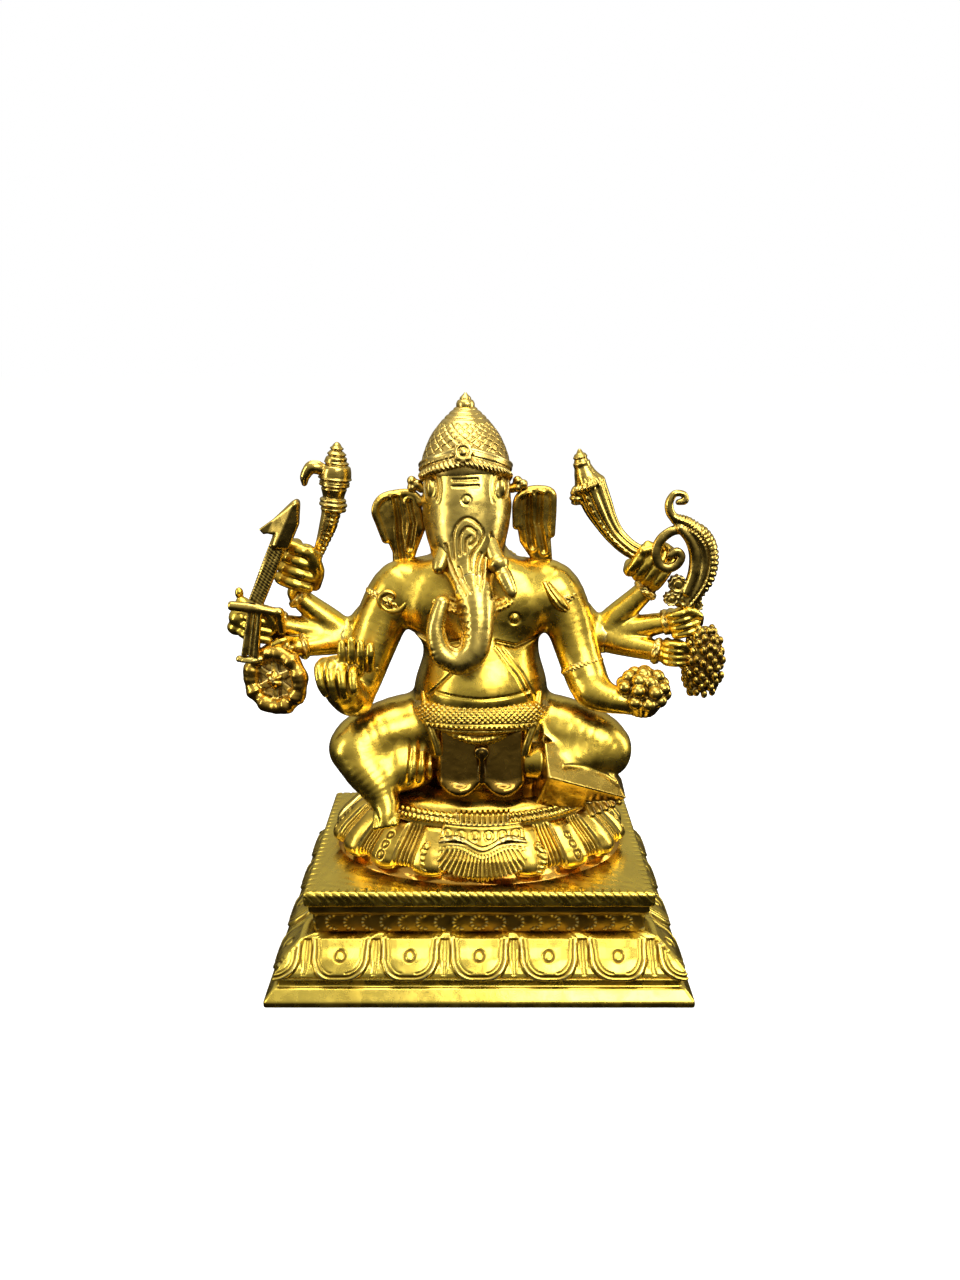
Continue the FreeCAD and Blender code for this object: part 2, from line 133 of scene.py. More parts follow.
def union(P, shapes, blend, start=None):
    d = shapes[0](P) if start is None else start
    for shape in shapes[1:] if start is None else shapes:
        d = smin(d, shape(P), blend)
    return d


def turned(angles):
    """Rotation matrix from X, Y, Z angles in degrees."""
    ax, ay, az = (math.radians(a) for a in angles)
    cx, sx, cy, sy, cz, sz = (math.cos(ax), math.sin(ax), math.cos(ay), math.sin(ay),
                              math.cos(az), math.sin(az))
    rx = np.array([[1, 0, 0], [0, cx, -sx], [0, sx, cx]])
    ry = np.array([[cy, 0, sy], [0, 1, 0], [-sy, 0, cy]])
    rz = np.array([[cz, -sz, 0], [sz, cz, 0], [0, 0, 1]])
    return (rz @ ry @ rx).astype(F)


def ellipsoid(P, centre, radii, angles=None):
    q = P - np.array(centre, F)
    if angles is not None:
        q = q @ turned(angles)
    r = np.array(radii, F)
    k0 = length(q / r)
    k1 = length(q / (r * r))
    return np.where(k0 > 0.01, k0 * (k0 - 1.0) / np.maximum(k1, 1e-6), -r.min())


def slab(P, centre, half, radius):
    """Box with rounded edges."""
    q = np.abs(P - np.array(centre, F)) - (np.array(half, F) - radius)
    outside = length(np.maximum(q, 0.0))
    return outside + np.minimum(q.max(axis=1), 0.0) - radius


def about(P, centre, axis):
    """Height along an axis through centre, and the offset square to it."""
    a = np.array(axis, F)
    a = a / np.linalg.norm(a)
    q = P - np.array(centre, F)
    up = q @ a
    return up, q - up[:, None] * a


def hoop(P, centre, axis, ring, thick):
    up, flat = about(P, centre, axis)
    return np.hypot(length(flat) - ring, up) - thick


def resample(joints, parts):
    """Catmull-Rom curve through joints: (x, y, z, radius) in space, (u, v) in a plane."""
    j = np.array(joints, float)
    j = np.vstack([2 * j[0] - j[1], j, 2 * j[-1] - j[-2]])
    out = []
    for k in range(1, len(j) - 2):
        for t in np.arange(parts) / parts:
            p0, p1, p2, p3 = j[k - 1:k + 3]
            out.append(0.5 * (2 * p1 + (p2 - p0) * t + (2 * p0 - 5 * p1 + 4 * p2 - p3) * t ** 2
                              + (3 * p1 - p0 - 3 * p2 + p3) * t ** 3))
    out.append(j[-2])
    return np.array(out, F)


class Shape:
    """A distance field worked out in full only near its own box."""

    def __init__(self, field, low, high, pad=3.0):
        self.field, self.pad = field, pad
        self.low, self.high = np.array(low, F), np.array(high, F)

    def __call__(self, P):
        d = length(np.maximum(np.maximum(self.low - P, P - self.high), 0.0))
        near = d < self.pad
        if near.any():
            d[near] = self.field(P[near])
        return d


def cluster(P, places, radii, blend=0.25):
    """Many small lumps; radii is one (x, y, z) for all of them or one for each."""
    each = radii if isinstance(radii, list) else [radii] * len(places)
    d = np.full(len(P), 4.0, F)
    for place, size in zip(places, each):
        near = np.abs(P - np.array(place, F)).max(axis=1) < max(size) + 3.0
        if near.any():
            d[near] = smin(d[near], ellipsoid(P[near], place, size), blend)
    return d


class Tube(Shape):
    """Round tube of changing radius along a smooth curve; flat squeezes it along Y."""

    def __init__(self, joints, parts=4, flat=1.0):
        self.path = resample(joints, parts)
        self.flat = flat
        spot, r = self.path[:, :3], self.path[:, 3:]
        super().__init__(lambda P: self.near(P)[0], (spot - r).min(0), (spot + r).max(0))

    def near(self, P):
        """Distance, place along the curve (0 to 1) and offset from the curve."""
        best = np.full(len(P), 1e9, F)
        along = np.zeros(len(P), F)
        side = np.zeros((len(P), 3), F)
        spans = len(self.path) - 1
        for k in range(spans):
            a, b = self.path[k], self.path[k + 1]
            ab = b[:3] - a[:3]
            w = P - a[:3]
            t = np.clip((w @ ab) / max(float(ab @ ab), 1e-6), 0.0, 1.0)
            q = w - t[:, None] * ab
            q[:, 1] /= self.flat
            d = (length(q) - (a[3] + t * (b[3] - a[3]))) * min(1.0, self.flat)
            m = d < best
            best[m] = d[m]
            along[m] = (k + t[m]) / spans
            side[m] = q[m]
        return best, along, side


class Stack(Shape):
    """Upright body through level ovals (z, x, y, half width, half depth)."""

    def __init__(self, sections, rounding=0.6):
        self.table = resample(sections, 6)
        t = self.table
        reach = t[:, 3:5]
        super().__init__(self.oval, (*(t[:, 1:3] - reach).min(0), t[0, 0]),
                         (*(t[:, 1:3] + reach).max(0), t[-1, 0]))
        self.rounding = rounding

    def at(self, z):
        return [np.interp(z, self.table[:, 0], self.table[:, k]).astype(F) for k in (1, 2, 3, 4)]

    def oval(self, P):
        z = P[:, 2]
        x, y, rx, ry = self.at(z)
        u, v = P[:, 0] - x, P[:, 1] - y
        k0 = np.hypot(u / rx, v / ry)
        k1 = np.hypot(u / rx ** 2, v / ry ** 2)
        side = np.where(k0 > 0.01, k0 * (k0 - 1.0) / np.maximum(k1, 1e-6), -np.minimum(rx, ry))
        ends = np.maximum(self.table[0, 0] - z, z - self.table[-1, 0])
        return smax(side, ends, self.rounding)


def strokes(u, v, *lines):
    """Distance in a plane to some open polylines."""
    best = np.full(len(u), 1e9, F)
    for points in lines:
        for (au, av), (bu, bv) in zip(points[:-1], points[1:]):
            du, dv = bu - au, bv - av
            t = np.clip(((u - au) * du + (v - av) * dv) / (du * du + dv * dv), 0.0, 1.0)
            best = np.minimum(best, np.hypot(u - au - t * du, v - av - t * dv))
    return best


def plate(P, outline, y, thick, rounding=0.2):
    """Flat plate in the X-Z plane with the given outline, centred on y."""
    u, v = P[:, 0], P[:, 2]
    points = list(outline)
    d = strokes(u, v, points + points[:1])
    inside = np.zeros(len(u), bool)
    for (au, av), (bu, bv) in zip(points, points[1:] + points[:1]):
        crosses = (av > v) != (bv > v)
        inside ^= crosses & (u < (bu - au) * (v - av) / (bv - av if bv != av else 1e-6) + au)
    d = np.where(inside, -d, d) + rounding
    e = np.abs(P[:, 1] - y) - (0.5 * thick - rounding)
    return (np.minimum(np.maximum(d, e), 0.0)
            + np.hypot(np.maximum(d, 0.0), np.maximum(e, 0.0)) - rounding)


OVERLAP = 0.5                    # parts of the casting run this far into each other
SINK = 0.15                      # slope of the part that runs on inside its neighbour


def joined(own, others):
    """Own part of one smooth casting: fillets run across to the neighbours."""
    def field(P):
        a = own(P)
        whole, rest = a, nothing(P)
        for other, blend in others:
            near = other(P)
            rest = np.minimum(rest, near)
            whole = smin(whole, near, blend)
        past = 0.5 * (a - rest)
        return np.maximum(whole + SINK * np.maximum(past, 0.0), past - OVERLAP)
    return field


# ---- from a field to a mesh ----------------------------------------------------------
BLOCK = 4
CORNERS = [np.array([i, j, k]) for i in (0, 1) for j in (0, 1) for k in (0, 1)]
EDGES = [(a, b) for a in range(8) for b in range(a + 1, 8)
         if np.abs(CORNERS[a] - CORNERS[b]).sum() == 1]
TETRA = np.array([[1, -1, -1], [-1, -1, 1], [-1, 1, -1], [1, 1, 1]], F)


def in_chunks(field, P, size=300000):
    return np.concatenate([field(P[k:k + size]) for k in range(0, len(P), size)])


def slope(field, P, reach):
    """Field value and gradient, from four samples round each point."""
    samples = [in_chunks(field, P + reach * t) for t in TETRA]
    grad = sum(s[:, None] * t for s, t in zip(samples, TETRA)) / (4.0 * reach)
    return sum(samples) * 0.25, grad


def surface(field, low, high, voxel):
    """Closed quad mesh of the field's zero surface, with cavity and edge masks."""
    low = np.array(low, F)
    blocks = np.ceil((np.array(high, F) - low) / (voxel * BLOCK)).astype(int) + 1
    where = np.stack(np.meshgrid(*[np.arange(n) for n in blocks], indexing="ij"), -1)
    centres = low + (where.reshape(-1, 3) + 0.5) * BLOCK * voxel - 0.5 * voxel
    d = in_chunks(field, centres.astype(F))
    live = np.abs(d) < BLOCK * voxel * 0.9 + 0.6
    grid = np.repeat(np.where(d < 0, -1.0, 1.0).astype(F)[:, None], BLOCK ** 3, axis=1)
    step = np.stack(np.meshgrid(*[np.arange(BLOCK)] * 3, indexing="ij"), -1).reshape(-1, 3)
    corner = low + where.reshape(-1, 3)[live] * BLOCK * voxel
    points = (corner[:, None, :] + step[None] * voxel).reshape(-1, 3).astype(F)
    grid[live] = in_chunks(field, points).reshape(-1, BLOCK ** 3)
    grid = grid.reshape(*blocks, BLOCK, BLOCK, BLOCK).transpose(0, 3, 1, 4, 2, 5)
    grid = np.ascontiguousarray(grid).reshape(*(blocks * BLOCK))
    verts, quads = surface_net(grid)
    verts = (low + verts * voxel).astype(F)
    reach = 0.35 * voxel
    for _ in range(2):
        value, grad = slope(field, verts, reach)
        size2 = np.maximum(np.einsum("ij,ij->i", grad, grad), 0.05)
        move = -(value / size2)[:, None] * grad
        far = np.maximum(length(move) / (0.6 * voxel), 1.0)
        verts = verts + move / far[:, None]
    value, grad = slope(field, verts, reach)
    normal = grad / np.maximum(length(grad), 1e-4)[:, None]
    cavity = np.zeros(len(verts), F)
    edge = np.zeros(len(verts), F)
    for reach, weight in ((0.35, 0.5), (1.0, 0.5)):
        cavity += weight * np.clip(1.0 - in_chunks(field, verts + reach * normal) / reach, 0, 1)
        edge += weight * np.clip(1.0 + in_chunks(field, verts - reach * normal) / reach, 0, 1)
    return verts, quads, cavity, edge


def surface_net(grid):
    solid = grid < 0
    n = np.array(grid.shape) - 1
    count = np.zeros(n, np.uint8)
    for c in CORNERS:
        count += solid[c[0]:c[0] + n[0], c[1]:c[1] + n[1], c[2]:c[2] + n[2]]
    cells = np.argwhere((count > 0) & (count < 8))
    ids = np.full(n, -1, np.int32)
    ids[tuple(cells.T)] = np.arange(len(cells))
    values = [grid[tuple((cells + c).T)] for c in CORNERS]
    total = np.zeros((len(cells), 3))
    hits = np.zeros(len(cells))
    for a, b in EDGES:
        va, vb = values[a], values[b]
        cross = (va < 0) != (vb < 0)
        t = np.where(cross, va / np.where(cross, va - vb, 1.0), 0.0)
        total += cross[:, None] * (CORNERS[a] + t[:, None] * (CORNERS[b] - CORNERS[a]))
        hits += cross
    verts = cells + total / hits[:, None]
    quads = []
    for axis in range(3):
        u, v = (axis + 1) % 3, (axis + 2) % 3
        low = [slice(None)] * 3
        low[axis] = slice(0, grid.shape[axis] - 1)
        high = [slice(None)] * 3
        high[axis] = slice(1, grid.shape[axis])
        first = solid[tuple(low)]
        edges = np.argwhere(first != solid[tuple(high)])
        inner = ((edges[:, u] > 0) & (edges[:, v] > 0)
                 & (edges[:, u] < grid.shape[u] - 1) & (edges[:, v] < grid.shape[v] - 1))
        edges = edges[inner]
        eu, ev = np.eye(3, dtype=int)[u], np.eye(3, dtype=int)[v]
        ring = np.stack([ids[tuple((edges - s).T)] for s in (eu + ev, ev, 0 * eu, eu)], 1)
        outward = first[tuple(edges.T)]
        ring = np.where(outward[:, None], ring, ring[:, ::-1])
        quads.append(ring)
    return verts, np.concatenate(quads)


def build_mesh(name, verts, quads, cavity, edge):
    mesh = bpy.data.meshes.new(name)
    mesh.vertices.add(len(verts))
    mesh.vertices.foreach_set("co", (np.asarray(verts, float) * MM).ravel())
    mesh.loops.add(quads.size)
    mesh.loops.foreach_set("vertex_index", quads.ravel().astype(np.int32))
    mesh.polygons.add(len(quads))
    mesh.polygons.foreach_set("loop_start", np.arange(0, quads.size, 4, dtype=np.int32))
    mesh.polygons.foreach_set("use_smooth", np.ones(len(quads), bool))
    mesh.update(calc_edges=True)
    mask = mesh.attributes.new("relief", "FLOAT_COLOR", "POINT")
    rgba = np.ones((len(verts), 4), F)
    rgba[:, 0] = cavity
    rgba[:, 1] = edge
    rgba[:, 2] = 0.0
    mask.data.foreach_set("color", rgba.ravel())
    obj = bpy.data.objects.new(name, mesh)
    bpy.context.scene.collection.objects.link(obj)
    return obj


# ---- materials -----------------------------------------------------------------------
BRIGHT = (0.98, 0.70, 0.10)      # clean gilt
DEEP = (0.70, 0.42, 0.035)       # gilt in its darker clouds
LACQUER = (0.62, 0.27, 0.02)     # lacquer gathered in hollows
PAINTED_SHADE = (0.13, 0.065, 0.012)     # painted shade on undersides and in the deepest corners
PAINTED_CREASE_SHADE = (0.10, 0.045, 0.008)       # painted shade in the bottoms of chased lines and creases
RUBBED = (1.0, 0.84, 0.34)       # worn edges


def gold(name, bright, deep, lacquer, roughness, scale=1.0, tarnish_and_shade=0.35):
    """Polished, hand-chased gilt metal: lacquer gathers in the hollows, edges are rubbed, and
    painted shade darkens undersides, deep corners and the bottoms of creases.
    """
    mat = bpy.data.materials.new(name)
    mat.use_nodes = True
    nodes, links = mat.node_tree.nodes, mat.node_tree.links
    shader = nodes["Principled BSDF"]
    shader.inputs["Metallic"].default_value = 1.0

    def add(kind, **values):
        node = nodes.new(kind)
        for key, value in values.items():
            setattr(node, key, value)
        return node

    def mix(a, b, factor):
        node = add("ShaderNodeMix", data_type="RGBA")
        for socket, value in ((6, a), (7, b)):
            if isinstance(value, tuple):
                node.inputs[socket].default_value = (*value, 1.0)
            else:
                links.new(value, node.inputs[socket])
        links.new(factor, node.inputs[0])
        return node.outputs[2]

    def ramp(value, low, high, to_low=0.0, to_high=1.0):
        node = add("ShaderNodeMapRange", interpolation_type="SMOOTHSTEP")
        links.new(value, node.inputs[0])
        for k, number in enumerate((low, high, to_low, to_high)):
            node.inputs[k + 1].default_value = number
        return node.outputs[0]

    def math_node(operation, a, b):
        node = add("ShaderNodeMath", operation=operation)
        for k, value in enumerate((a, b)):
            if isinstance(value, float):
                node.inputs[k].default_value = value
            else:
                links.new(value, node.inputs[k])
        return node.outputs[0]

    def noise(size, detail, distortion=0.0):
        node = add("ShaderNodeTexNoise")
        node.inputs["Scale"].default_value = size
        node.inputs["Detail"].default_value = detail
        node.inputs["Distortion"].default_value = distortion
        links.new(place.outputs["Object"], node.inputs["Vector"])
        return node.outputs["Fac"]

    place = add("ShaderNodeTexCoord")
    relief = add("ShaderNodeAttribute", attribute_name="relief")
    parts = add("ShaderNodeSeparateColor")
    links.new(relief.outputs["Color"], parts.inputs[0])
    cavity, edge = parts.outputs[0], parts.outputs[1]
    broad = noise(70.0 * scale, 3.0, 0.6)
    fine = noise(420.0 * scale, 5.0, 0.4)
    hammered = noise(190.0 * scale, 2.0, 0.3)
    hollow = add("ShaderNodeAmbientOcclusion", samples=6)
    hollow.inputs["Distance"].default_value = 0.006
    closed = ramp(hollow.outputs["AO"], 0.15, 0.85, 1.0, 0.0)
    pooled = math_node("MULTIPLY", ramp(broad, 0.38, 0.66), closed)
    # random darker clouds of gilt; set high, as on the ears and the foot, they also paint shade
    base = mix(bright, deep, ramp(broad, 0.35, 0.7, 0.0, tarnish_and_shade))
    base = mix(base, lacquer, math_node("MULTIPLY", pooled, 0.85))
    way = add("ShaderNodeSeparateXYZ")
    links.new(place.outputs["Normal"], way.inputs[0])
    # painted shade: faces that look downwards and the deepest corners are darkened
    under = ramp(way.outputs[2], -0.7, -0.15, 0.8, 0.0)
    deepest = ramp(hollow.outputs["AO"], 0.08, 0.5, 0.6, 0.0)
    base = mix(base, PAINTED_SHADE, math_node("MAXIMUM", under, deepest))
    # painted shade in chased lines and creases, from the cavity mask
    base = mix(base, PAINTED_CREASE_SHADE, ramp(cavity, 0.22, 0.7, 0.0, 0.85))
    rubbed = math_node("MULTIPLY", ramp(edge, 0.25, 0.75), 0.55)
    base = mix(base, RUBBED, rubbed)
    links.new(base, shader.inputs["Base Color"])
    rough = math_node("ADD", ramp(fine, 0.3, 0.75, roughness - 0.05, roughness + 0.10),
                      ramp(cavity, 0.2, 0.8, 0.0, 0.2))
    links.new(rough, shader.inputs["Roughness"])
    bump = add("ShaderNodeBump")
    bump.inputs["Strength"].default_value = 0.20
    bump.inputs["Distance"].default_value = 0.0003
    swell = math_node("MULTIPLY", math_node("ADD", broad, hammered), 2.2)
    links.new(math_node("ADD", swell, fine), bump.inputs["Height"])
    links.new(bump.outputs["Normal"], shader.inputs["Normal"])
    return mat


METALS = {
    "gilded_body": gold("gilt_body", BRIGHT, DEEP, LACQUER, 0.25),
    "gilded_arms": gold("gilt_arms", BRIGHT, DEEP, LACQUER, 0.25),
    "gilded_head": gold("gilt_head", (0.92, 0.68, 0.16), (0.62, 0.42, 0.07), LACQUER, 0.26,
                        tarnish_and_shade=0.6),
    "gilded_crown": gold("gilt_crown", (0.88, 0.63, 0.16), (0.56, 0.35, 0.07), LACQUER, 0.26),
    "gilded_cloth": gold("gilt_cloth", (0.92, 0.63, 0.10), DEEP, LACQUER, 0.26),
    "gilded_attributes": gold("gilt_attributes", (0.86, 0.62, 0.14), (0.48, 0.29, 0.05),
                              (0.34, 0.15, 0.02), 0.22),
    "gilded_pedestal": gold("gilt_pedestal", (0.94, 0.70, 0.11), (0.74, 0.48, 0.05), LACQUER,
                            0.26, scale=0.7),
    "braze_lacquer": gold("gilt_braze", (0.80, 0.44, 0.07), (0.58, 0.25, 0.02),
                          (0.42, 0.13, 0.01), 0.18),
    # painted dark reflection: the neck's gold is painted dark in place of the dark reflection on
    # its upright face
    "pedestal_neck": gold("gilt_painted_dark_reflection", (0.26, 0.18, 0.04), (0.12, 0.075, 0.016),
                          (0.16, 0.06, 0.01), 0.34, scale=0.7),
    # painted shade: the ears are painted a darker gold
    "right_ear": gold("gilt_ears_painted_shade", (0.84, 0.57, 0.10), (0.38, 0.22, 0.03),
                      (0.50, 0.20, 0.015), 0.24, tarnish_and_shade=0.9),
    # painted shade: the folded foot is painted a darker gold for its shaded underside
    "left_foot": gold("gilt_painted_shade", (0.66, 0.45, 0.08), (0.30, 0.17, 0.02),
                      (0.36, 0.12, 0.01), 0.24, tarnish_and_shade=0.8),
    "wheel": gold("gilt_wheel", (0.80, 0.50, 0.08), (0.40, 0.20, 0.02),
                  (0.50, 0.19, 0.015), 0.24, tarnish_and_shade=0.9),
    "waist_cloth": gold("gilt_shaded", (0.50, 0.30, 0.05), (0.20, 0.11, 0.02),
                        (0.30, 0.10, 0.01), 0.20),
}
METALS["left_ear"] = METALS["right_ear"]
# the sweets and the grain sprig take the same darker gold
METALS["sweets"] = METALS["grain_sprig"] = METALS["left_foot"]


def finish_piece(obj, nodes, slot):
    """Metal, body and replaced CAD nodes (hidden) of a finished piece; the metal is the node's own
    or else the slot's.
    """
    obj.data.materials.append(METALS.get(nodes[0], METALS[slot]))
    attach(obj, "root")
    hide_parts(*nodes)
    return obj


# ---- figure: body and legs -------------------------------------------------------------
PIECES = []


def piece(name, slot, field, voxel, margin=1.4, node=None):
    """Piece to sculpt; it may reach past the box of its CAD node by the margin."""
    PIECES.append((name, [node or name], slot, field, voxel, margin))


def fold(P, points, width, depth, front=0.0):
    """Chased line in the front of a surface, given by its (x, z) points."""
    cut = depth * line(strokes(P[:, 0], P[:, 2], points), width)
    return np.where(P[:, 1] < front, cut, 0.0)


def ring_mark(P, x, z, radius, width, depth, front=0.0):
    cut = depth * line(np.hypot(P[:, 0] - x, P[:, 2] - z) - radius, width)
    return np.where(P[:, 1] < front, cut, 0.0)


torso_stack = Stack([
    (41.6, 0, 2.0, 16.0, 11.0), (46, 0, 1.4, 16.8, 12.0), (50, 0, 0.5, 17.0, 13.0),
    (60, 0.2, -0.5, 16.8, 13.6), (68, 0.4, -1.0, 15.8, 14.6), (75, 0.5, -0.6, 14.0, 13.0),
    (81, 0.0, 0.4, 14.6, 11.0), (87, -0.6, 0.8, 16.0, 9.8), (92, -0.8, 1.2, 16.8, 8.8),
    (96, -1.0, 1.6, 14.6, 7.6), (99, -1.6, 1.8, 9.6, 6.6), (103, -2.4, 2.0, 7.4, 6.0)])


def torso_form(P):
    d = torso_stack.oval(P)
    for x in (-9.6, 8.4):
        d = smin(d, ellipsoid(P, (x, -3.8, 87.8), (8.8, 5.2, 8.4)), 3.6)
    d = smin(d, ellipsoid(P, (0.4, -3.4, 67.0), (13.2, 12.6, 11.5)), 5.0)
    d = smin(d, ellipsoid(P, (-1.0, -3.0, 95.5), (13.0, 4.6, 4.4)), 3.0)
    d += fold(P, [(4.0, 80.6), (8.6, 79.2), (13.8, 80.6)], 0.8, 0.8)
    d += fold(P, [(-15.0, 81.6), (-9.6, 79.4), (-4.6, 80.8)], 0.8, 0.7)
    for shift in (0.0, 1.5):
        d += fold(P, [(3.6 + shift, 79.6), (8.6 + shift, 73.4), (12.0 + shift, 66.8)], 0.45, 0.35)
    d += fold(P, [(-4.8, 75.6), (-8.6, 71.8), (-11.8, 68.2)], 0.45, 0.4)
    d += fold(P, [(-9.8, 69.4), (0.6, 69.0), (11.6, 69.4)], 0.5, 0.4)
    for x in (-10.4, 8.2):
        d += ring_mark(P, x, 86.0, 1.25, 0.4, 0.3)
        d -= 0.25 * np.where(P[:, 1] < 0, line(np.hypot(P[:, 0] - x, P[:, 2] - 86.0), 0.9), 0)
    return d


TORSO = Shape(torso_form, (-19, -18.5, 41.5), (18, 14.5, 103.2))

UPPER_ARMS = {
    "right": Tube([(-13.8, 1.6, 93.6, 4.6), (-18.8, 0.6, 91.2, 6.3), (-22.6, -1.0, 85.2, 6.2),
                   (-25.8, -4.0, 77.0, 5.5), (-28.4, -7.0, 69.6, 4.8), (-29.4, -9.0, 66.6, 3.8)]),
    "left": Tube([(12.4, 1.6, 93.4, 4.6), (17.4, 0.6, 91.0, 6.2), (20.8, -1.0, 85.2, 5.9),
                  (23.4, -4.0, 77.0, 5.2), (25.8, -7.4, 70.2, 4.9), (27.2, -9.4, 68.2, 4.1)]),
}
FOREARMS = {
    "right": Tube([(-29.0, -9.6, 66.0, 3.6), (-30.0, -12.8, 67.8, 4.0), (-31.4, -15.4, 71.4, 4.2),
                   (-32.6, -16.4, 75.4, 3.8)]),
    "left": Tube([(26.8, -9.6, 68.4, 3.9), (29.6, -11.6, 67.6, 3.6), (33.0, -13.0, 67.2, 3.0),
                  (35.2, -13.2, 66.4, 2.4)]),
}
THIGHS = {
    "right": Tube([(-12.0, 0.0, 56.6, 8.2), (-20.0, -3.6, 56.4, 8.0), (-27.4, -6.6, 54.8, 7.1),
                   (-29.8, -7.8, 53.8, 6.0)]),
    "left": Tube([(12.0, 0.0, 56.6, 8.2), (20.0, -3.6, 56.4, 8.0), (27.6, -6.4, 54.8, 7.2),
                  (30.6, -7.6, 53.4, 6.2)]),
}
shin_tube = Tube([(-30.0, -9.6, 53.2, 5.4), (-27.4, -11.8, 49.6, 5.2), (-24.0, -14.0, 45.6, 4.3),
                  (-22.4, -15.8, 42.6, 3.1)])
calf_tube = Tube([(-25.0, -7.4, 49.6, 6.2), (-18.0, -8.2, 48.8, 6.4), (-13.6, -6.4, 48.4, 4.6)])


def right_shin_form(P):
    d = smin(shin_tube(P), calf_tube(P), 3.0)
    for x, tilt in ((-16.4, 0.5), (-14.2, 0.3), (-12.2, 0.1)):
        d += fold(P, [(x, 60.0), (x + 0.5 * tilt, 54.0), (x - tilt, 47.0)], 0.8, 0.5)
    return d


RIGHT_SHIN = Shape(right_shin_form, (-35.6, -19.4, 39.4), (-5.0, -0.6, 58.8))
right_foot_tubes = [Tube([(-22.0, -16.4, 42.6, 2.8), (-21.8, -18.0, 41.0, 2.5),
                          (-21.8, -19.2, 39.8, 1.9)])]
for toe in range(4):
    toe_x = -24.0 + 1.5 * toe
    right_foot_tubes.append(Tube([(toe_x, -18.4, 40.6, 0.95),
                                  (toe_x - 0.2, -20.4, 38.6 + 0.3 * toe, 0.9)]))


def right_foot_form(P):
    return union(P, right_foot_tubes, 0.5)


RIGHT_FOOT = Shape(right_foot_form, (-25.5, -22, 36.4), (-18.4, -13, 44.8))
LEFT_SHIN = Tube([(31.0, -9.0, 51.6, 5.0), (25.0, -9.6, 51.8, 5.2), (17.6, -9.6, 51.4, 5.0),
                  (12.0, -8.6, 50.6, 5.0)])


def facet(P, point, normal):
    n = np.array(normal, F)
    return (P - np.array(point, F)) @ (n / np.linalg.norm(n))


left_toes = [Tube([(26.0 + 1.6 * k, -15.8, 41.6 + 0.5 * k, 0.9),
                   (26.6 + 1.6 * k, -18.2 + 0.4 * k, 40.6 + 0.6 * k, 0.8)]) for k in range(5)]


def left_foot_form(P):
    """Wedge of the folded leg: a pale upper facet and a hollow, dark under facet."""
    d = facet(P, (24.0, -18.6, 48.2), (0.30, -0.62, 0.70))
    d += 0.35 * line(strokes(P[:, 0], P[:, 2], [(20.0, 52.0), (26.0, 51.6), (33.0, 47.0)]), 0.7)
    d = smax(d, facet(P, (24.0, -18.6, 48.2), (-0.08, -0.86, -0.50)), 0.25)
    d = smax(d, facet(P, (14.8, -14.0, 50.0), (-1.0, -0.2, 0.1)), 0.6)
    d = smax(d, facet(P, (34.6, -17.0, 44.6), (0.84, -0.05, 0.54)), 0.4)
    d = smax(d, facet(P, (34.6, -17.0, 44.4), (0.62, 0.0, -0.78)), 0.4)
    d = smax(d, facet(P, (24.0, -8.0, 48.0), (0.0, 1.0, 0.1)), 0.6)
    d = smax(d, 40.2 - P[:, 2], 0.5)
    d = smax(d, -ellipsoid(P, (24.0, -19.8, 42.8), (9.0, 3.4, 3.6), (0, 17, 0)), 0.5)
    return union(P, left_toes, 0.3, d)


LEFT_FOOT = Shape(left_foot_form, (13.0, -20.5, 39.2), (36.0, -8.0, 59.0))

REAR_SHOULDERS = {"right": (-20.0, 5.0, 88.0), "left": (18.6, 5.0, 88.0)}
REAR_ELBOWS = {"right": (-31.6, 3.4, 77.4), "left": (28.8, 3.4, 78.0)}
REAR_ARMS = {
    "right_mace": ("right", (-43.4, 2.0, 88.4), (-41.8, 0.6, 96.4), (4.8, 3.4, 5.6), 18),
    "right_arrow": ("right", (-47.6, 0.0, 82.0), (-51.6, -2.4, 83.4), (4.6, 3.4, 4.4), 14),
    "right_wheel": ("right", (-42.4, -1.6, 77.0), (-47.2, -3.4, 76.8), (4.2, 3.0, 2.7), -60),
    "left_conch": ("left", (40.0, 2.0, 90.2), (40.6, 0.6, 97.4), (5.2, 3.5, 4.9), -60),
    "left_bow": ("left", (45.0, 0.0, 82.6), (49.0, -1.6, 83.8), (4.0, 3.2, 3.5), -20),
    "left_sprig": ("left", (42.8, -2.2, 76.0), (47.2, -3.4, 76.4), (3.4, 3.0, 3.1), 0),
}
REAR_UPPER = {}
for side, (sx, sy, sz) in REAR_SHOULDERS.items():
    ex, ey, ez = REAR_ELBOWS[side]
    REAR_UPPER[side] = Tube([(sx, sy, sz, 4.8), (0.5 * (sx + ex), sy - 0.6, 0.5 * (sz + ez), 4.6),
                             (ex, ey, ez, 3.6)])
REAR_FOREARMS = {}
for name, (side, wrist, palm, half, lean) in REAR_ARMS.items():
    ex, ey, ez = REAR_ELBOWS[side]
    wx, wy, wz = wrist
    REAR_FOREARMS[name] = Tube([
        (ex, ey, ez, 3.3), (0.6 * ex + 0.4 * wx, 0.6 * ey + 0.4 * wy + 0.2,
                            0.6 * ez + 0.4 * wz, 3.3), (wx, wy, wz, 2.5),
        (0.6 * wx + 0.4 * palm[0], 0.6 * wy + 0.4 * palm[1], 0.6 * wz + 0.4 * palm[2], 2.3)])


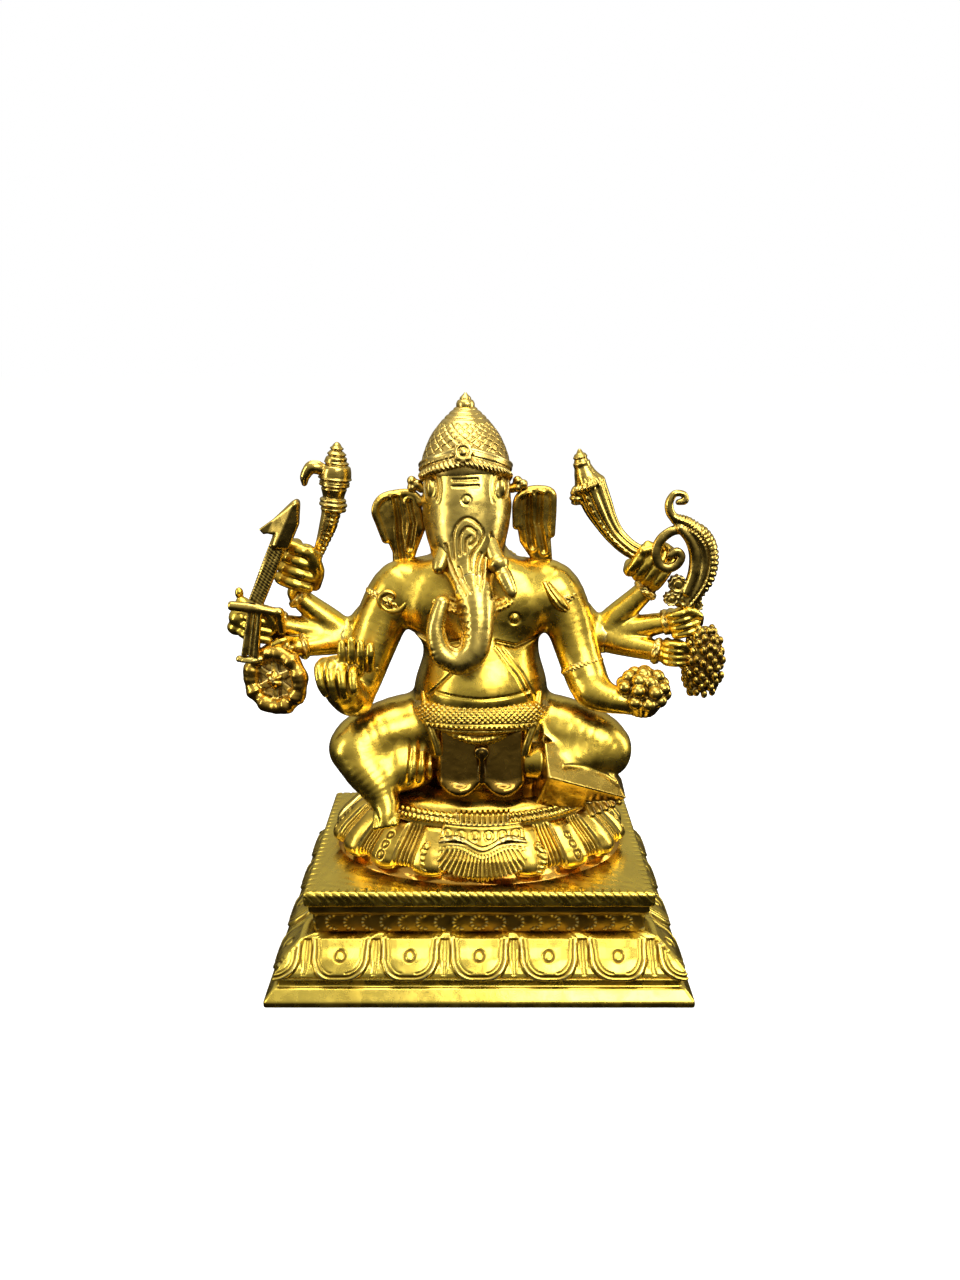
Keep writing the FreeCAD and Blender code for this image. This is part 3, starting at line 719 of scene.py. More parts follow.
def fist(palm, half, lean):
    """Closed hand: four fingers and a thumb folded over the front of a palm."""
    turn = turned((0, lean, 0))

    def spot(u, v, w, r):
        return (*(np.array(palm) + turn @ (np.array((u, v, w)) * half)), r)

    r = 0.27 * half[2]
    fingers = [Tube([spot(-0.6, 0.3, w, r), spot(-0.8, -0.6, w, 1.1 * r),
                     spot(-0.1, -1.0, w, 1.05 * r), spot(0.6, -0.8, w - 0.05, 0.85 * r)], 3)
               for w in (0.74, 0.26, -0.22, -0.7)]
    thumb = Tube([spot(0.8, 0.2, -0.7, r), spot(0.8, -0.7, 0.1, 1.1 * r),
                  spot(0.3, -1.1, 0.8, 0.9 * r)], 3)

    def field(P):
        d = ellipsoid(P, palm, np.array(half) * (0.86, 0.84, 0.96), (0, lean, 0))
        return smin(smin(d, union(P, fingers, 0.35), 0.6), thumb(P), 0.5)

    reach = 1.35 * max(half)
    return Shape(field, np.array(palm) - reach, np.array(palm) + reach)


HANDS = {name: fist(palm, half, lean)
         for name, (side, wrist, palm, half, lean) in REAR_ARMS.items()}
pommel = [((-56.4, -3.0, 84.6), (3.0, 2.6, 2.6)), ((-57.6, -2.8, 82.2), (2.4, 2.2, 2.0)),
          ((-55.8, -3.2, 88.0), (1.8, 1.7, 1.7)), ((-56.4, -3.2, 90.6), (1.0, 1.0, 1.4))]
arrow_fist = HANDS["right_arrow"]


def arrow_hand_form(P):
    knobs = cluster(P, [place for place, _ in pommel], [radii for _, radii in pommel], 0.5)
    return smin(arrow_fist(P), knobs, 0.6)


HANDS["right_arrow"] = Shape(arrow_hand_form, (-60.0, -7.0, 77.0), (-45.0, 3.0, 92.4))
hanging_fingers = [Tube([(-35.2 + 2.5 * k, -16.4, 77.8 - 0.3 * k, 1.1),
                         (-35.6 + 2.5 * k, -19.6, 77.4 - 0.4 * k, 1.1),
                         (-35.0 + 2.4 * k, -21.0, 74.2 - 0.3 * k, 1.0),
                         (-34.2 + 2.2 * k, -20.4, 70.4 + 1.1 * abs(k - 1.3), 0.85)], 3)
                   for k in range(4)]
raised_fingers = [Tube([(-31.0 + 2.1 * k, -16.6, 76.4, 1.15), (-30.6 + 2.1 * k, -17.6, 80.0, 1.1),
                        (-30.6 + 2.1 * k, -17.2, 83.2 - 0.7 * abs(k - 1), 0.95)], 3)
                  for k in range(4)]


def right_hand_form(P):
    palm = ellipsoid(P, (-31.0, -15.8, 75.8), (5.2, 2.6, 3.2))
    return union(P, hanging_fingers + raised_fingers, 0.2, palm)


RIGHT_HAND = Shape(right_hand_form, (-38, -22.4, 69.5), (-22.6, -12, 85))


# ---- figure: head ----------------------------------------------------------------------
HEAD_X = -2.9
head_stack = Stack([(99.6, HEAD_X, -4.2, 5.6, 5.0), (103, HEAD_X, -3.6, 7.6, 6.8),
                    (107, HEAD_X, -2.4, 8.8, 8.2), (111.4, HEAD_X, -0.8, 9.5, 9.4),
                    (116, HEAD_X, 0.6, 10.0, 10.2), (120.4, HEAD_X, 1.2, 9.6, 9.6)])
neck_tube = Tube([(-1.6, 2.6, 96.4, 7.6), (HEAD_X, 2.4, 100.0, 7.0), (HEAD_X, 2.0, 106.0, 7.6)])


def head_form(P):
    d = smin(head_stack.oval(P), neck_tube(P), 2.0)
    q = P - np.array((HEAD_X, 0, 0), F)
    q[:, 0] = np.abs(q[:, 0])
    d = smin(d, ellipsoid(q, (7.9, -6.0, 115.6), (0.9, 1.0, 1.9), (0, 0, 40)), 0.4)
    x, z = q[:, 0], q[:, 2]
    socket = np.hypot((x - 7.9) / 1.1, (z - 115.6) / 2.1) - 1.0
    for away, depth in ((0.35, 0.42), (1.15, 0.25)):
        d += np.where((P[:, 1] < -1) & (z > 113.6 - away), depth * line(socket - away, 0.34), 0)
    for z_line, x_low, x_high in ((119.0, -5.6, -3.6), (117.6, -5.8, -0.4), (116.2, -5.8, -0.2)):
        d += fold(P, [(x_low, z_line), (x_high, z_line + 0.15)], 0.55, 0.4, -4)
    d += ring_mark(P, HEAD_X + 0.1, 113.4, 0.95, 0.4, 0.35, -4)
    return d + scroll(P)


SCROLL = [
    [(-3.4, 100.6), (-3.6, 105.4), (-2.6, 108.2), (-0.6, 109.6), (1.6, 108.6), (3.2, 106.2),
     (2.2, 103.8), (0.4, 101.4), (0.2, 98.4)],
    [(-2.0, 101.4), (-2.1, 105.2), (-0.6, 107.5), (1.3, 106.7), (1.6, 105.0), (0.3, 103.6)],
    [(-0.8, 102.0), (-0.7, 104.6), (0.3, 105.6)],
    [(4.8, 106.0), (5.2, 103.2), (3.4, 100.4), (3.2, 97.6), (2.6, 94.6)],
    [(2.6, 101.8), (1.6, 99.0), (1.6, 95.6)],
    [(-5.2, 103.6), (-4.4, 100.0), (-3.0, 96.8), (-0.8, 93.4)],
    [(-2.2, 98.8), (-1.0, 95.8), (0.4, 94.0)],
]


def scroll(P):
    """Flame scroll chased round the root of the trunk."""
    u, v = P[:, 0] + 2.2, P[:, 2]
    cut = np.zeros(len(P), F)
    for curl in SCROLL:
        cut = np.maximum(cut, line(strokes(u, v, resample(curl, 4)), 0.42))
    return np.where(P[:, 1] < -3, 0.42 * cut, 0.0)


HEAD = Shape(head_form, (-13.6, -11.6, 88.0), (8.0, 11.8, 120.6))
trunk_tube = Tube([(-2.8, -0.6, 108.0, 8.2), (-2.8, -2.8, 104.0, 7.4), (-2.6, -6.2, 99.8, 5.9),
                   (-1.9, -9.8, 96.0, 4.8), (-0.9, -13.2, 92.0, 4.1), (-0.4, -16.0, 86.0, 3.6),
                   (-1.3, -17.6, 80.8, 3.4), (-4.5, -18.1, 78.6, 3.15), (-8.2, -17.8, 80.4, 2.8),
                   (-9.6, -17.2, 84.8, 2.3), (-9.0, -16.4, 88.8, 1.9), (-8.2, -15.8, 91.4, 1.5)], 5)


def trunk_form(P):
    d, along, side = trunk_tube.near(P)
    bend = step01(along, 0.28, 0.45) * (1 - step01(along, 0.9, 0.97))
    low = np.where(side[:, 1] < 1.2, 1.0, 0.0)
    wrinkle = repeat(along * 44.0) * 2.0
    outer = step01(side[:, 0] * np.cos(along * 6) - side[:, 2], -0.2, 1.2)
    d += 0.30 * bend * low * outer * line(wrinkle, 0.5)
    lip = np.hypot(P[:, 0] + 4.6, P[:, 2] - 86.0)
    inner = step01(-(side[:, 0] * (P[:, 0] + 4.6) + side[:, 2] * (P[:, 2] - 86.0)) / lip, 0.3, 1.2)
    d += 0.45 * bend * inner * line(np.abs(side[:, 1] + 0.9) - 0.1, 0.5)
    return d + scroll(P)


TRUNK = Shape(trunk_form, (-12.6, -21.8, 74.8), (6.2, 8.2, 117.0))
LEFT_TUSK = Tube([(2.4, -8.4, 103.4, 2.1), (4.0, -10.8, 99.8, 2.0), (5.6, -12.8, 96.8, 1.9),
                  (7.0, -14.4, 94.2, 1.45), (7.4, -14.9, 93.2, 0.9)])
RIGHT_TUSK = Tube([(-7.6, -8.2, 102.4, 1.9), (-8.6, -10.0, 99.6, 1.9), (-9.0, -10.9, 98.4, 1.6)])


def left_tusk_form(P):
    d, along, side = LEFT_TUSK.near(P)
    return d - 0.55 * line(along - 0.30, 0.10) + 0.3 * line(along - 0.42, 0.06)


def ear(mirror, middle, lean, outline, folds):
    """Folded fan of an ear: a shell with a rolled edge and upright creases."""
    def field(P):
        q = P.copy()
        bow = 0.045 * (P[:, 0] - middle) ** 2
        q[:, 1] += bow - 0.8
        d = plate(q, outline, 1.6, 3.6, 1.4)
        rolled = Tube([(x, 0.6, z, 1.05) for x, z in outline[:7]], 4)
        scoop = ellipsoid(P, (middle - 0.4 * mirror, -3.4, 107.6), (3.6, 4.0, 7.6), (0, lean, 0))
        d = smax(d, -scoop, 1.0)
        d = smin(d, rolled(q), 0.5)
        for points in folds:
            crease = strokes(P[:, 0], P[:, 2], points)
            d += 0.45 * line(crease, 0.6) - 0.35 * line(crease - 1.0, 0.6)
        return d
    return field


right_ear_form = ear(-1, -18.6, -8, [
    (-21.9, 102.6), (-23.2, 106.6), (-24.0, 109.6), (-22.6, 112.2), (-19.2, 113.2), (-15.6, 113.2),
    (-13.6, 111.6), (-12.6, 105.0), (-14.6, 100.0), (-16.0, 96.0), (-20.6, 95.6), (-20.6, 99.4)],
    [[(-19.4, 112.4), (-18.8, 107.6), (-18.6, 103.0), (-18.0, 98.0)],
     [(-16.2, 111.4), (-15.4, 106.4), (-16.4, 100.6)]])
left_ear_form = ear(1, 13.2, 4, [
    (8.8, 106.0), (8.8, 111.4), (10.6, 113.6), (13.6, 114.2), (16.6, 113.6), (17.0, 110.6),
    (16.8, 104.0), (17.4, 97.6), (15.0, 95.8), (12.4, 97.6), (9.6, 101.8)],
    [[(11.6, 112.6), (11.6, 106.6), (12.6, 101.0)], [(14.2, 113.0), (14.0, 106.6), (15.4, 100.0)]])
RIGHT_EAR = Shape(right_ear_form, (-25.4, -1.6, 94.6), (-11.4, 6.4, 115.0))
LEFT_EAR = Shape(left_ear_form, (7.4, -1.6, 94.8), (19.0, 6.4, 116.0))


# ---- figure: one casting, cut into its named parts ---------------------------------------
CASTING = {
    "torso": TORSO, "head": HEAD, "trunk": TRUNK,
    "right_ear": RIGHT_EAR, "left_ear": LEFT_EAR,
    "right_upper_arm": UPPER_ARMS["right"], "left_upper_arm": UPPER_ARMS["left"],
    "right_forearm": FOREARMS["right"], "left_forearm": FOREARMS["left"],
    "right_hand": RIGHT_HAND,
    "right_rear_upper_arms": REAR_UPPER["right"], "left_rear_upper_arms": REAR_UPPER["left"],
    "right_thigh": THIGHS["right"], "left_thigh": THIGHS["left"],
    "right_shin": RIGHT_SHIN, "left_shin": LEFT_SHIN,
    "right_foot": RIGHT_FOOT, "left_foot": LEFT_FOOT,
}
for name, field in REAR_FOREARMS.items():
    CASTING[name + "_forearm"] = field
for name, field in HANDS.items():
    CASTING[name + "_hand"] = field
NEIGHBOURS = [
    ("torso", "head", 2.0), ("head", "trunk", 6.0), ("torso", "right_ear", 1.2),
    ("torso", "left_ear", 1.2), ("head", "right_ear", 1.0), ("head", "left_ear", 1.0),
    ("torso", "right_upper_arm", 3.0), ("torso", "left_upper_arm", 3.0),
    ("right_upper_arm", "right_forearm", 1.6), ("left_upper_arm", "left_forearm", 1.6),
    ("right_forearm", "right_hand", 1.2), ("right_upper_arm", "right_rear_upper_arms", 1.5),
    ("left_upper_arm", "left_rear_upper_arms", 1.5), ("torso", "right_rear_upper_arms", 2.0),
    ("torso", "left_rear_upper_arms", 2.0), ("torso", "right_thigh", 2.4),
    ("torso", "left_thigh", 2.4), ("right_thigh", "right_shin", 2.6),
    ("left_thigh", "left_shin", 1.6), ("right_shin", "right_foot", 1.2),
    ("left_shin", "left_foot", 0.8), ("left_thigh", "left_foot", 0.6),
]
for name, (side, *_) in REAR_ARMS.items():
    NEIGHBOURS.append((side + "_rear_upper_arms", name + "_forearm", 1.6))
    NEIGHBOURS.append((name + "_forearm", name + "_hand", 1.2))
for side in ("right", "left"):
    trio = [name + "_forearm" for name in REAR_ARMS if name.startswith(side)]
    NEIGHBOURS += [(a, b, 1.0) for k, a in enumerate(trio) for b in trio[k + 1:]]


def body_slot(name):
    if "arm" in name or "hand" in name:
        return "gilded_arms"
    return "gilded_head" if name in ("head", "trunk", "right_ear", "left_ear") else "gilded_body"


for name, own in CASTING.items():
    near = [(b if a == name else a, k) for a, b, k in NEIGHBOURS if name in (a, b)]
    part = name.split("_")[-1]
    piece("cast_" + name, body_slot(name), joined(own, [(CASTING[other], k) for other, k in near]),
          0.24 if part in ("head", "trunk") else 0.27,
          9.0 if part in ("shin", "head") else 5.0 if part in ("torso", "hand", "foot") else 2.8,
          name)
piece("cast_left_tusk", "gilded_head", left_tusk_form, 0.2, node="left_tusk")
piece("cast_right_tusk", "gilded_head", RIGHT_TUSK, 0.2, node="right_tusk_broken")


# ---- crown -------------------------------------------------------------------------------
CROWN_AXIS = (HEAD_X - 0.2, 1.2)
CROWN_LOW = levels("crown_dome")[0]
FINIAL_LOW, FINIAL_HIGH = levels("crown_finial")
dome_stack = Stack([(z, CROWN_AXIS[0], CROWN_AXIS[1] + 0.8 * step01(z, 118.0, 132.0), r, r)
                    for z, r in ((CROWN_LOW - 1.2, 9.2), (118.4, 10.1), (121.0, 10.1),
                                 (123.6, 9.3), (126.6, 7.9), (129.0, 6.1), (130.6, 4.7),
                                 (132.0, 3.2), (132.9, 2.3))])


def crown_angle(P):
    """Angle round the crown from its front, and how far round to the side it is."""
    u, v = P[:, 0] - CROWN_AXIS[0], P[:, 1] - CROWN_AXIS[1]
    angle = np.arctan2(u, -v)
    side = np.where(v < 0, np.abs(np.sin(angle)), 1.0)
    return angle, side, np.hypot(u, v)


def band_height(side):
    """Middle of the head band: it rises to a point over the brow."""
    return 117.9 + 4.9 * (1.0 - side) + 2.6 * side * np.sqrt(np.maximum(1.0 - side ** 2, 0.0))


def dome_form(P):
    d = dome_stack.oval(P)
    angle, side, reach = crown_angle(P)
    above = P[:, 2] - band_height(side)
    turns = angle * 9.0 / math.pi
    climb = P[:, 2] / 3.0 + 0.014 * (P[:, 2] - 118.0) ** 2
    cell = reach * math.pi / 9.0
    cuts = np.zeros(len(P), F)
    for sign in (1, -1):
        phase = repeat(turns + sign * climb)
        cuts = np.maximum(cuts, line((0.5 - phase) * cell * 0.75, 0.30))
    net = step01(above, 1.6, 2.0) * (1.0 - step01(P[:, 2], 129.2, 129.6))
    rings = line(np.abs((P[:, 2] - 129.8) % 0.95 - 0.475), 0.3) * step01(P[:, 2], 129.5, 129.7)
    return d + 0.30 * cuts * net + 0.22 * rings


def band_form(P):
    d = dome_stack.oval(P)
    angle, side, reach = crown_angle(P)
    off = P[:, 2] - band_height(side)
    off = off / np.sqrt(1.0 + np.where(P[:, 1] < CROWN_AXIS[1], 4.6 / reach, 0.0) ** 2)
    twist = np.sin(angle * 64.0 + off * 5.0)
    rope = np.hypot(off + 1.15, d - 0.35) - 0.85 - 0.16 * twist
    sash = np.maximum(np.abs(off - 0.35) - 1.25, d - 0.55 + 0.28 * line(off - 0.2, 0.4))
    beads = np.hypot(((angle * 9.0 + 0.5) % 1.0 - 0.5) * reach / 9.0, off - 0.55)
    sash -= 0.22 * line(beads, 0.6) * step01(-angle, 0.15, 0.3)
    top = np.hypot(off - 1.75, d - 0.3) - 0.42
    band = np.minimum(smin(rope, sash, 0.3), top)
    tilt = (P - np.array((HEAD_X - 0.6, -9.0, 123.6), F)) @ turned((-16, 0, 0))
    radius = np.hypot(tilt[:, 0], tilt[:, 2])
    petals = 0.22 * np.cos(8.0 * np.arctan2(tilt[:, 0], tilt[:, 2])) * step01(radius, 0.8, 1.4)
    boss = np.maximum(radius - 2.1 - petals, np.abs(tilt[:, 1]) - 1.15
                      + 0.35 * line(radius - 1.0, 0.45) + 0.12 * radius)
    return smin(np.maximum(band, -(d + 0.9)), boss, 0.3)


def finial_form(P):
    axis = P - np.array((CROWN_AXIS[0], CROWN_AXIS[1] + 0.8, 0.0), F)
    radius = np.hypot(axis[:, 0], axis[:, 1])
    z = P[:, 2]
    knob = np.hypot(radius / 2.05, (z - 133.4) / 1.5) - 1.0
    cone = radius - np.interp(z, [FINIAL_LOW - 1, 133.6, 135.0, FINIAL_HIGH - 0.25],
                              [2.4, 1.9, 1.15, 0.35]).astype(F)
    cone = np.maximum(cone, z - FINIAL_HIGH + 0.05)
    d = smin(knob * 1.5, cone, 0.4)
    d += 0.25 * line(z - 132.5, 0.3) + 0.2 * line(z - 134.5, 0.25)
    return np.maximum(d, FINIAL_LOW - 0.8 - z)


piece("crown_dome", "gilded_crown", dome_form, 0.17, 1.0)
piece("crown_band", "gilded_crown", band_form, 0.19, 1.6)
piece("crown_finial", "gilded_crown", finial_form, 0.14, 0.9)


def studs_form(P):
    d = nothing(P)
    for x, out in ((-14.0, -1), (8.2, 1)):
        for k in range(3):
            a = 2.1 * k
            d = smin(d, ellipsoid(P, (x + 1.1 * out + 0.9 * math.cos(a), 0.4,
                                      115.6 + 0.9 * math.sin(a)), (1.1, 1.2, 1.1)), 0.4)
        d = smin(d, Tube([(x - 0.6 * out, 0.6, 114.6, 1.1), (x + 0.8 * out, 0.5, 115.4, 0.9)])(P),
                 0.5)
    return d


piece("ear_studs", "gilded_crown", studs_form, 0.18, 0.6)


# ---- belt, waist cloth and jewellery -------------------------------------------------------
belt_tube = Tube([(-14.0, -6.6, 63.4, 2.2), (-11.0, -10.4, 63.6, 3.4), (-5.6, -13.0, 63.6, 4.4),
                  (0.6, -13.8, 63.6, 4.8), (6.8, -13.0, 63.6, 4.4), (12.2, -10.4, 63.6, 3.4),
                  (14.8, -6.6, 63.4, 2.2)], 5)
belt_lip = Tube([(-12.4, -9.4, 62.6, 0.8), (-8.0, -14.0, 60.6, 0.9), (-1.0, -16.6, 58.9, 0.95),
                 (6.0, -15.2, 60.0, 0.9), (12.4, -9.6, 62.6, 0.8)], 5)
belt_straps = [Tube([(side * 13.4 + 0.6, -9.2, 67.6, 1.1), (side * 12.6 + 0.6, -12.2, 62.6, 1.15),
                     (side * 10.6 + 0.6, -13.6, 56.6, 1.0), (side * 9.6 + 0.6, -13.4, 50.4, 0.9)],
                    4) for side in (-1, 1)]


def belt_form(P):
    d, along, side = belt_tube.near(P)
    x, z = P[:, 0], P[:, 2]
    level = z - (63.8 - 0.008 * (x - 0.6) ** 2)
    net = np.zeros(len(P), F)
    for sign in (1, -1):
        phase = repeat((x + sign * level * 1.25) / 1.35)
        net = np.maximum(net, line((0.5 - phase) * 0.85, 0.3))
    upper = step01(level, -0.1, 0.15) * (1.0 - step01(level, 3.9, 4.2))
    d += 0.30 * net * upper + 0.35 * line(level + 0.25, 0.35) + 0.35 * line(level - 4.3, 0.4)
    beads = (x / 1.15) % 1.0 - 0.5
    row = level + 1.15
    d -= 0.42 * line(np.hypot(beads * 1.15, row), 0.62)
    d += 0.3 * line(level + 2.0, 0.35)
    lip, place, around = belt_lip.near(P)
    lip -= 0.12 * np.sin(place * 130.0)
    d = smin(d, lip, 0.3)
    for strap in belt_straps:
        s, place, around = strap.near(P)
        s += 0.25 * line(around[:, 0], 0.35)
        d = smin(d, s, 0.3)
    return d


piece("belt", "gilded_cloth", belt_form, 0.19, 3.2)


def waist_form(P):
    d = nothing(P)
    for x in (-4.5, 5.7):
        lean = (P - np.array((x, -9.6, 53.4), F)) @ turned((-9, 0, 0))
        d = smin(d, slab(lean, (0, 0, -0.6), (5.2, 4.6, 7.6), 1.8), 0.25)
    for x in (-4.6, 5.8):
        rim = Tube([(x - 4.8, -12.2, 48.4, 0.7), (x - 2.8, -14.4, 46.2, 1.2),
                    (x, -15.4, 45.4, 1.5), (x + 2.8, -14.4, 46.2, 1.2),
                    (x + 4.8, -12.2, 48.4, 0.7)])
        d = smin(d, rim(P), 1.2)
    strip = Tube([(0.6, -14.8, 55.2, 1.0), (0.6, -14.9, 52.0, 0.7), (0.6, -14.8, 47.6, 0.8)])
    knob = hoop(P, (0.6, -15.0, 55.0), (0, 1, 0.1), 1.25, 0.45)
    d = smin(d, strip(P), 0.5)
    return smin(d, knob, 0.3)


piece("waist_cloth", "gilded_cloth", waist_form, 0.2, 1.8)


def necklace_form(P):
    up, flat = about(P, (-1.4, -1.2, 94.4), (0, -0.55, 1.0))
    reach = length(flat)
    angle = np.arctan2(flat[:, 0], -flat[:, 1])
    d = nothing(P)
    for ring, thick, beads in ((9.4, 0.75, 44), (10.9, 0.9, 52), (12.3, 0.65, 62)):
        bead = np.abs(np.sin(angle * beads / 2.0))
        d = smin(d, np.hypot(reach - ring, up + 0.18 * (ring - 9.4)) - thick - 0.2 * bead, 0.2)
    return d


piece("necklace", "gilded_cloth", necklace_form, 0.2, 1.2)


def bands(P, places, wire, twist):
    """Rings round the limbs, each (centre, axis, radius)."""
    d = nothing(P)
    for centre, axis, ring in places:
        up, flat = about(P, centre, axis)
        angle = np.arctan2(flat[:, 0] + 0.3 * flat[:, 2], flat[:, 1])
        reach = length(flat)
        for k in (-1, 0, 1):
            rope = 0.14 * np.sin(angle * twist + up * 4.0) * (k == 0)
            d = np.minimum(d, np.hypot(reach - ring, up - 1.15 * wire * k)
                           - wire * (1.0 if k == 0 else 0.7) - rope)
    return d


def swirl(P, centre, size, sign):
    """Curled leaf in relief on the shoulder."""
    cx, cy, cz = centre
    curl = [(cx + sign * size * (0.25 + 0.13 * k) * math.cos(0.75 * k),
             cy - 0.02 * k, cz + size * (0.2 + 0.12 * k) * math.sin(0.75 * k), 0.5 + 0.05 * k)
            for k in range(9)]
    return Tube(curl, 3)(P)


def armlets_form(P):
    d = bands(P, [((-21.3, -0.6, 88.0), (-0.5, -0.22, -0.9), 5.7),
                  ((19.2, -0.6, 88.0), (0.45, -0.22, -0.9), 5.5),
                  ((-27.2, -5.6, 73.4), (-0.3, -0.35, -0.85), 4.6),
                  ((24.5, -5.7, 73.4), (0.3, -0.35, -0.85), 4.6)], 0.62, 30)
    d = np.minimum(d, swirl(P, (-20.6, -6.0, 90.0), 3.2, 1))
    leaf = Tube([(14.6, -5.2, 95.2, 0.5), (16.4, -5.8, 92.0, 1.3), (18.8, -6.2, 88.8, 1.6),
                 (21.4, -5.6, 86.6, 0.5)])(P)
    vein = strokes(P[:, 0], P[:, 2], [(14.6, 95.2), (16.4, 92.0), (18.8, 88.8), (21.4, 86.6)])
    return np.minimum(d, leaf + 0.3 * line(vein, 0.4))


piece("armlets", "gilded_cloth", armlets_form, 0.19, 2.0)


def bracelets_form(P):
    places = []
    for name, (side, wrist, palm, half, lean) in REAR_ARMS.items():
        elbow = np.array(REAR_ELBOWS[side])
        places.append((wrist, np.array(wrist) - elbow, 2.75))
    return bands(P, places, 0.5, 18)


piece("bracelets", "gilded_cloth", bracelets_form, 0.19, 1.4)


# ---- what the hands hold -------------------------------------------------------------------
mace_shaft = Tube([(-40.6, 1.0, 92.6, 1.2), (-39.0, 0.8, 97.2, 1.25), (-37.2, 0.9, 101.2, 1.5),
                   (-35.4, 1.3, 106.0, 2.1), (-34.2, 1.6, 110.4, 2.35)], 5)
mace_head = Stack([(109.0, -34.3, 1.6, 2.3, 2.3), (112.6, -33.9, 1.8, 2.55, 2.55),
                   (115.4, -33.5, 1.9, 3.45, 3.45), (117.2, -33.4, 2.0, 3.75, 3.7),
                   (119.2, -33.2, 2.0, 3.4, 3.4), (120.4, -33.1, 2.0, 2.5, 2.5),
                   (121.2, -33.0, 2.0, 2.55, 2.55), (122.6, -32.9, 2.0, 1.85, 1.85),
                   (123.6, -32.8, 2.0, 1.4, 1.4), (125.0, -32.6, 2.0, 0.5, 0.5)])
mace_beak = Tube([(-36.2, 0.8, 118.9, 1.4), (-37.4, 0.4, 119.4, 1.6), (-38.8, 0.2, 119.2, 1.5),
                  (-40.0, 0.0, 117.4, 1.2), (-40.2, 0.0, 115.8, 0.8)])


def mace_form(P):
    shaft, along, side = mace_shaft.near(P)
    shaft += 0.22 * line(repeat(along * 17.0) * 1.4, 0.35) * step01(side[:, 0], -1, 1)
    shaft += 0.2 * line(side[:, 0] - 0.5, 0.3)
    z = P[:, 2] + 0.12 * (P[:, 0] + 33.4)
    head = mace_head.oval(P)
    for level in (114.6, 116.2, 119.9, 121.9, 123.2):
        head += 0.35 * line(z - level, 0.35) - 0.25 * line(z - level - 0.5, 0.35)
    d = smin(shaft, head, 0.6)
    for level, ring in ((109.6, 2.5), (110.7, 2.8), (111.7, 2.6)):
        d = smin(d, hoop(P, (-34.1, 1.7, level), (0.12, 0, 1), ring, 0.5), 0.2)
    beak = mace_beak(P) + 0.35 * line(P[:, 1], 0.5)
    return smin(d, beak, 0.3)


piece("conch_mace", "gilded_attributes", mace_form, 0.18, 1.4)


def arrow_form(P):
    x, z = P[:, 0], P[:, 2]
    head = plate(P, [(-41.0, 112.4), (-49.8, 106.4), (-48.8, 105.2), (-45.6, 105.8),
                     (-46.6, 103.0), (-43.4, 102.0), (-40.9, 107.4)], -6.4, 2.0, 0.35)
    spine = strokes(x, z, [(-41.4, 112.0), (-45.0, 104.6), (-52.6, 88.6)])
    head -= 1.1 * np.clip(1.0 - spine / 3.0, 0, 1)
    shaft = plate(P, [(-46.2, 106.2), (-53.4, 90.0), (-50.2, 88.4), (-43.2, 103.8)],
                  -6.4, 2.2, 0.6)
    shaft += 0.12 * np.sin(z * 5.0) * np.sin(x * 6.0 + z * 2.0)
    guard = Tube([(-57.4, -6.6, 88.4, 1.15), (-52.0, -7.0, 87.9, 1.2),
                  (-46.6, -6.2, 86.6, 1.1)])(P)
    guard = smin(guard, Tube([(-46.6, -6.2, 86.8, 1.1), (-46.4, -5.4, 82.0, 1.0)])(P), 0.4)
    grip = plate(P, [(-53.4, 89.0), (-56.0, 76.6), (-52.0, 75.8), (-50.2, 88.0)], -6.6, 2.4, 0.5)
    grip += 0.3 * line(strokes(x, z, [(-51.8, 88.0), (-53.9, 76.4)]) - 0.5, 0.35)
    foot = Tube([(-56.6, -6.6, 75.4, 0.9), (-54.0, -7.0, 75.0, 1.2), (-51.6, -6.6, 75.4, 0.9)])(P)
    return smin(smin(smin(head, shaft, 0.3), guard, 0.3), smin(grip, foot, 0.3), 0.3)


piece("arrow", "gilded_attributes", arrow_form, 0.18, 1.2)


def wheel_form(P):
    up, flat = about(P, (-48.4, -6.8, 70.4), (-0.35, -1.0, 0.1))
    reach = length(flat)
    angle = np.arctan2(flat[:, 0], flat[:, 2])
    rim = np.hypot(reach - 6.6, up) - 1.9 - 0.2 * np.cos(9.0 * angle)
    rim -= 0.25 * line(repeat(angle * 13.0 / (2 * math.pi)) * 2.0, 0.8) * (up > 0)
    spoke = np.abs(np.sin(3.0 * angle)) * reach / 3.0
    disc = np.maximum(np.abs(up + 0.9) - 0.6, reach - 6.0)
    spokes = np.maximum(spoke, np.abs(up + 0.3)) - 0.75
    spokes = np.maximum(spokes, reach - 5.8)
    boss = np.hypot(reach, up * 1.2) - 1.9 - 0.25 * np.cos(6.0 * angle)
    return smin(smin(rim, np.minimum(disc, spokes), 0.5), boss, 0.4)


piece("wheel", "gilded_attributes", wheel_form, 0.19, 2.4)


trumpet_tube = Tube([(26.0, 1.8, 114.6, 3.7), (27.6, 1.5, 110.8, 3.5), (29.6, 1.0, 107.0, 2.8),
                     (32.0, 0.4, 103.6, 2.3), (35.2, -0.6, 100.8, 2.1), (39.0, -1.4, 99.0, 1.9)], 5)
trumpet_spire = Tube([(26.0, 1.8, 114.6, 3.2), (24.8, 1.9, 117.0, 2.7), (24.0, 2.0, 119.2, 2.0),
                      (23.6, 2.0, 120.4, 2.0), (23.3, 2.0, 121.8, 1.1), (23.1, 2.0, 123.0, 0.5)], 4)


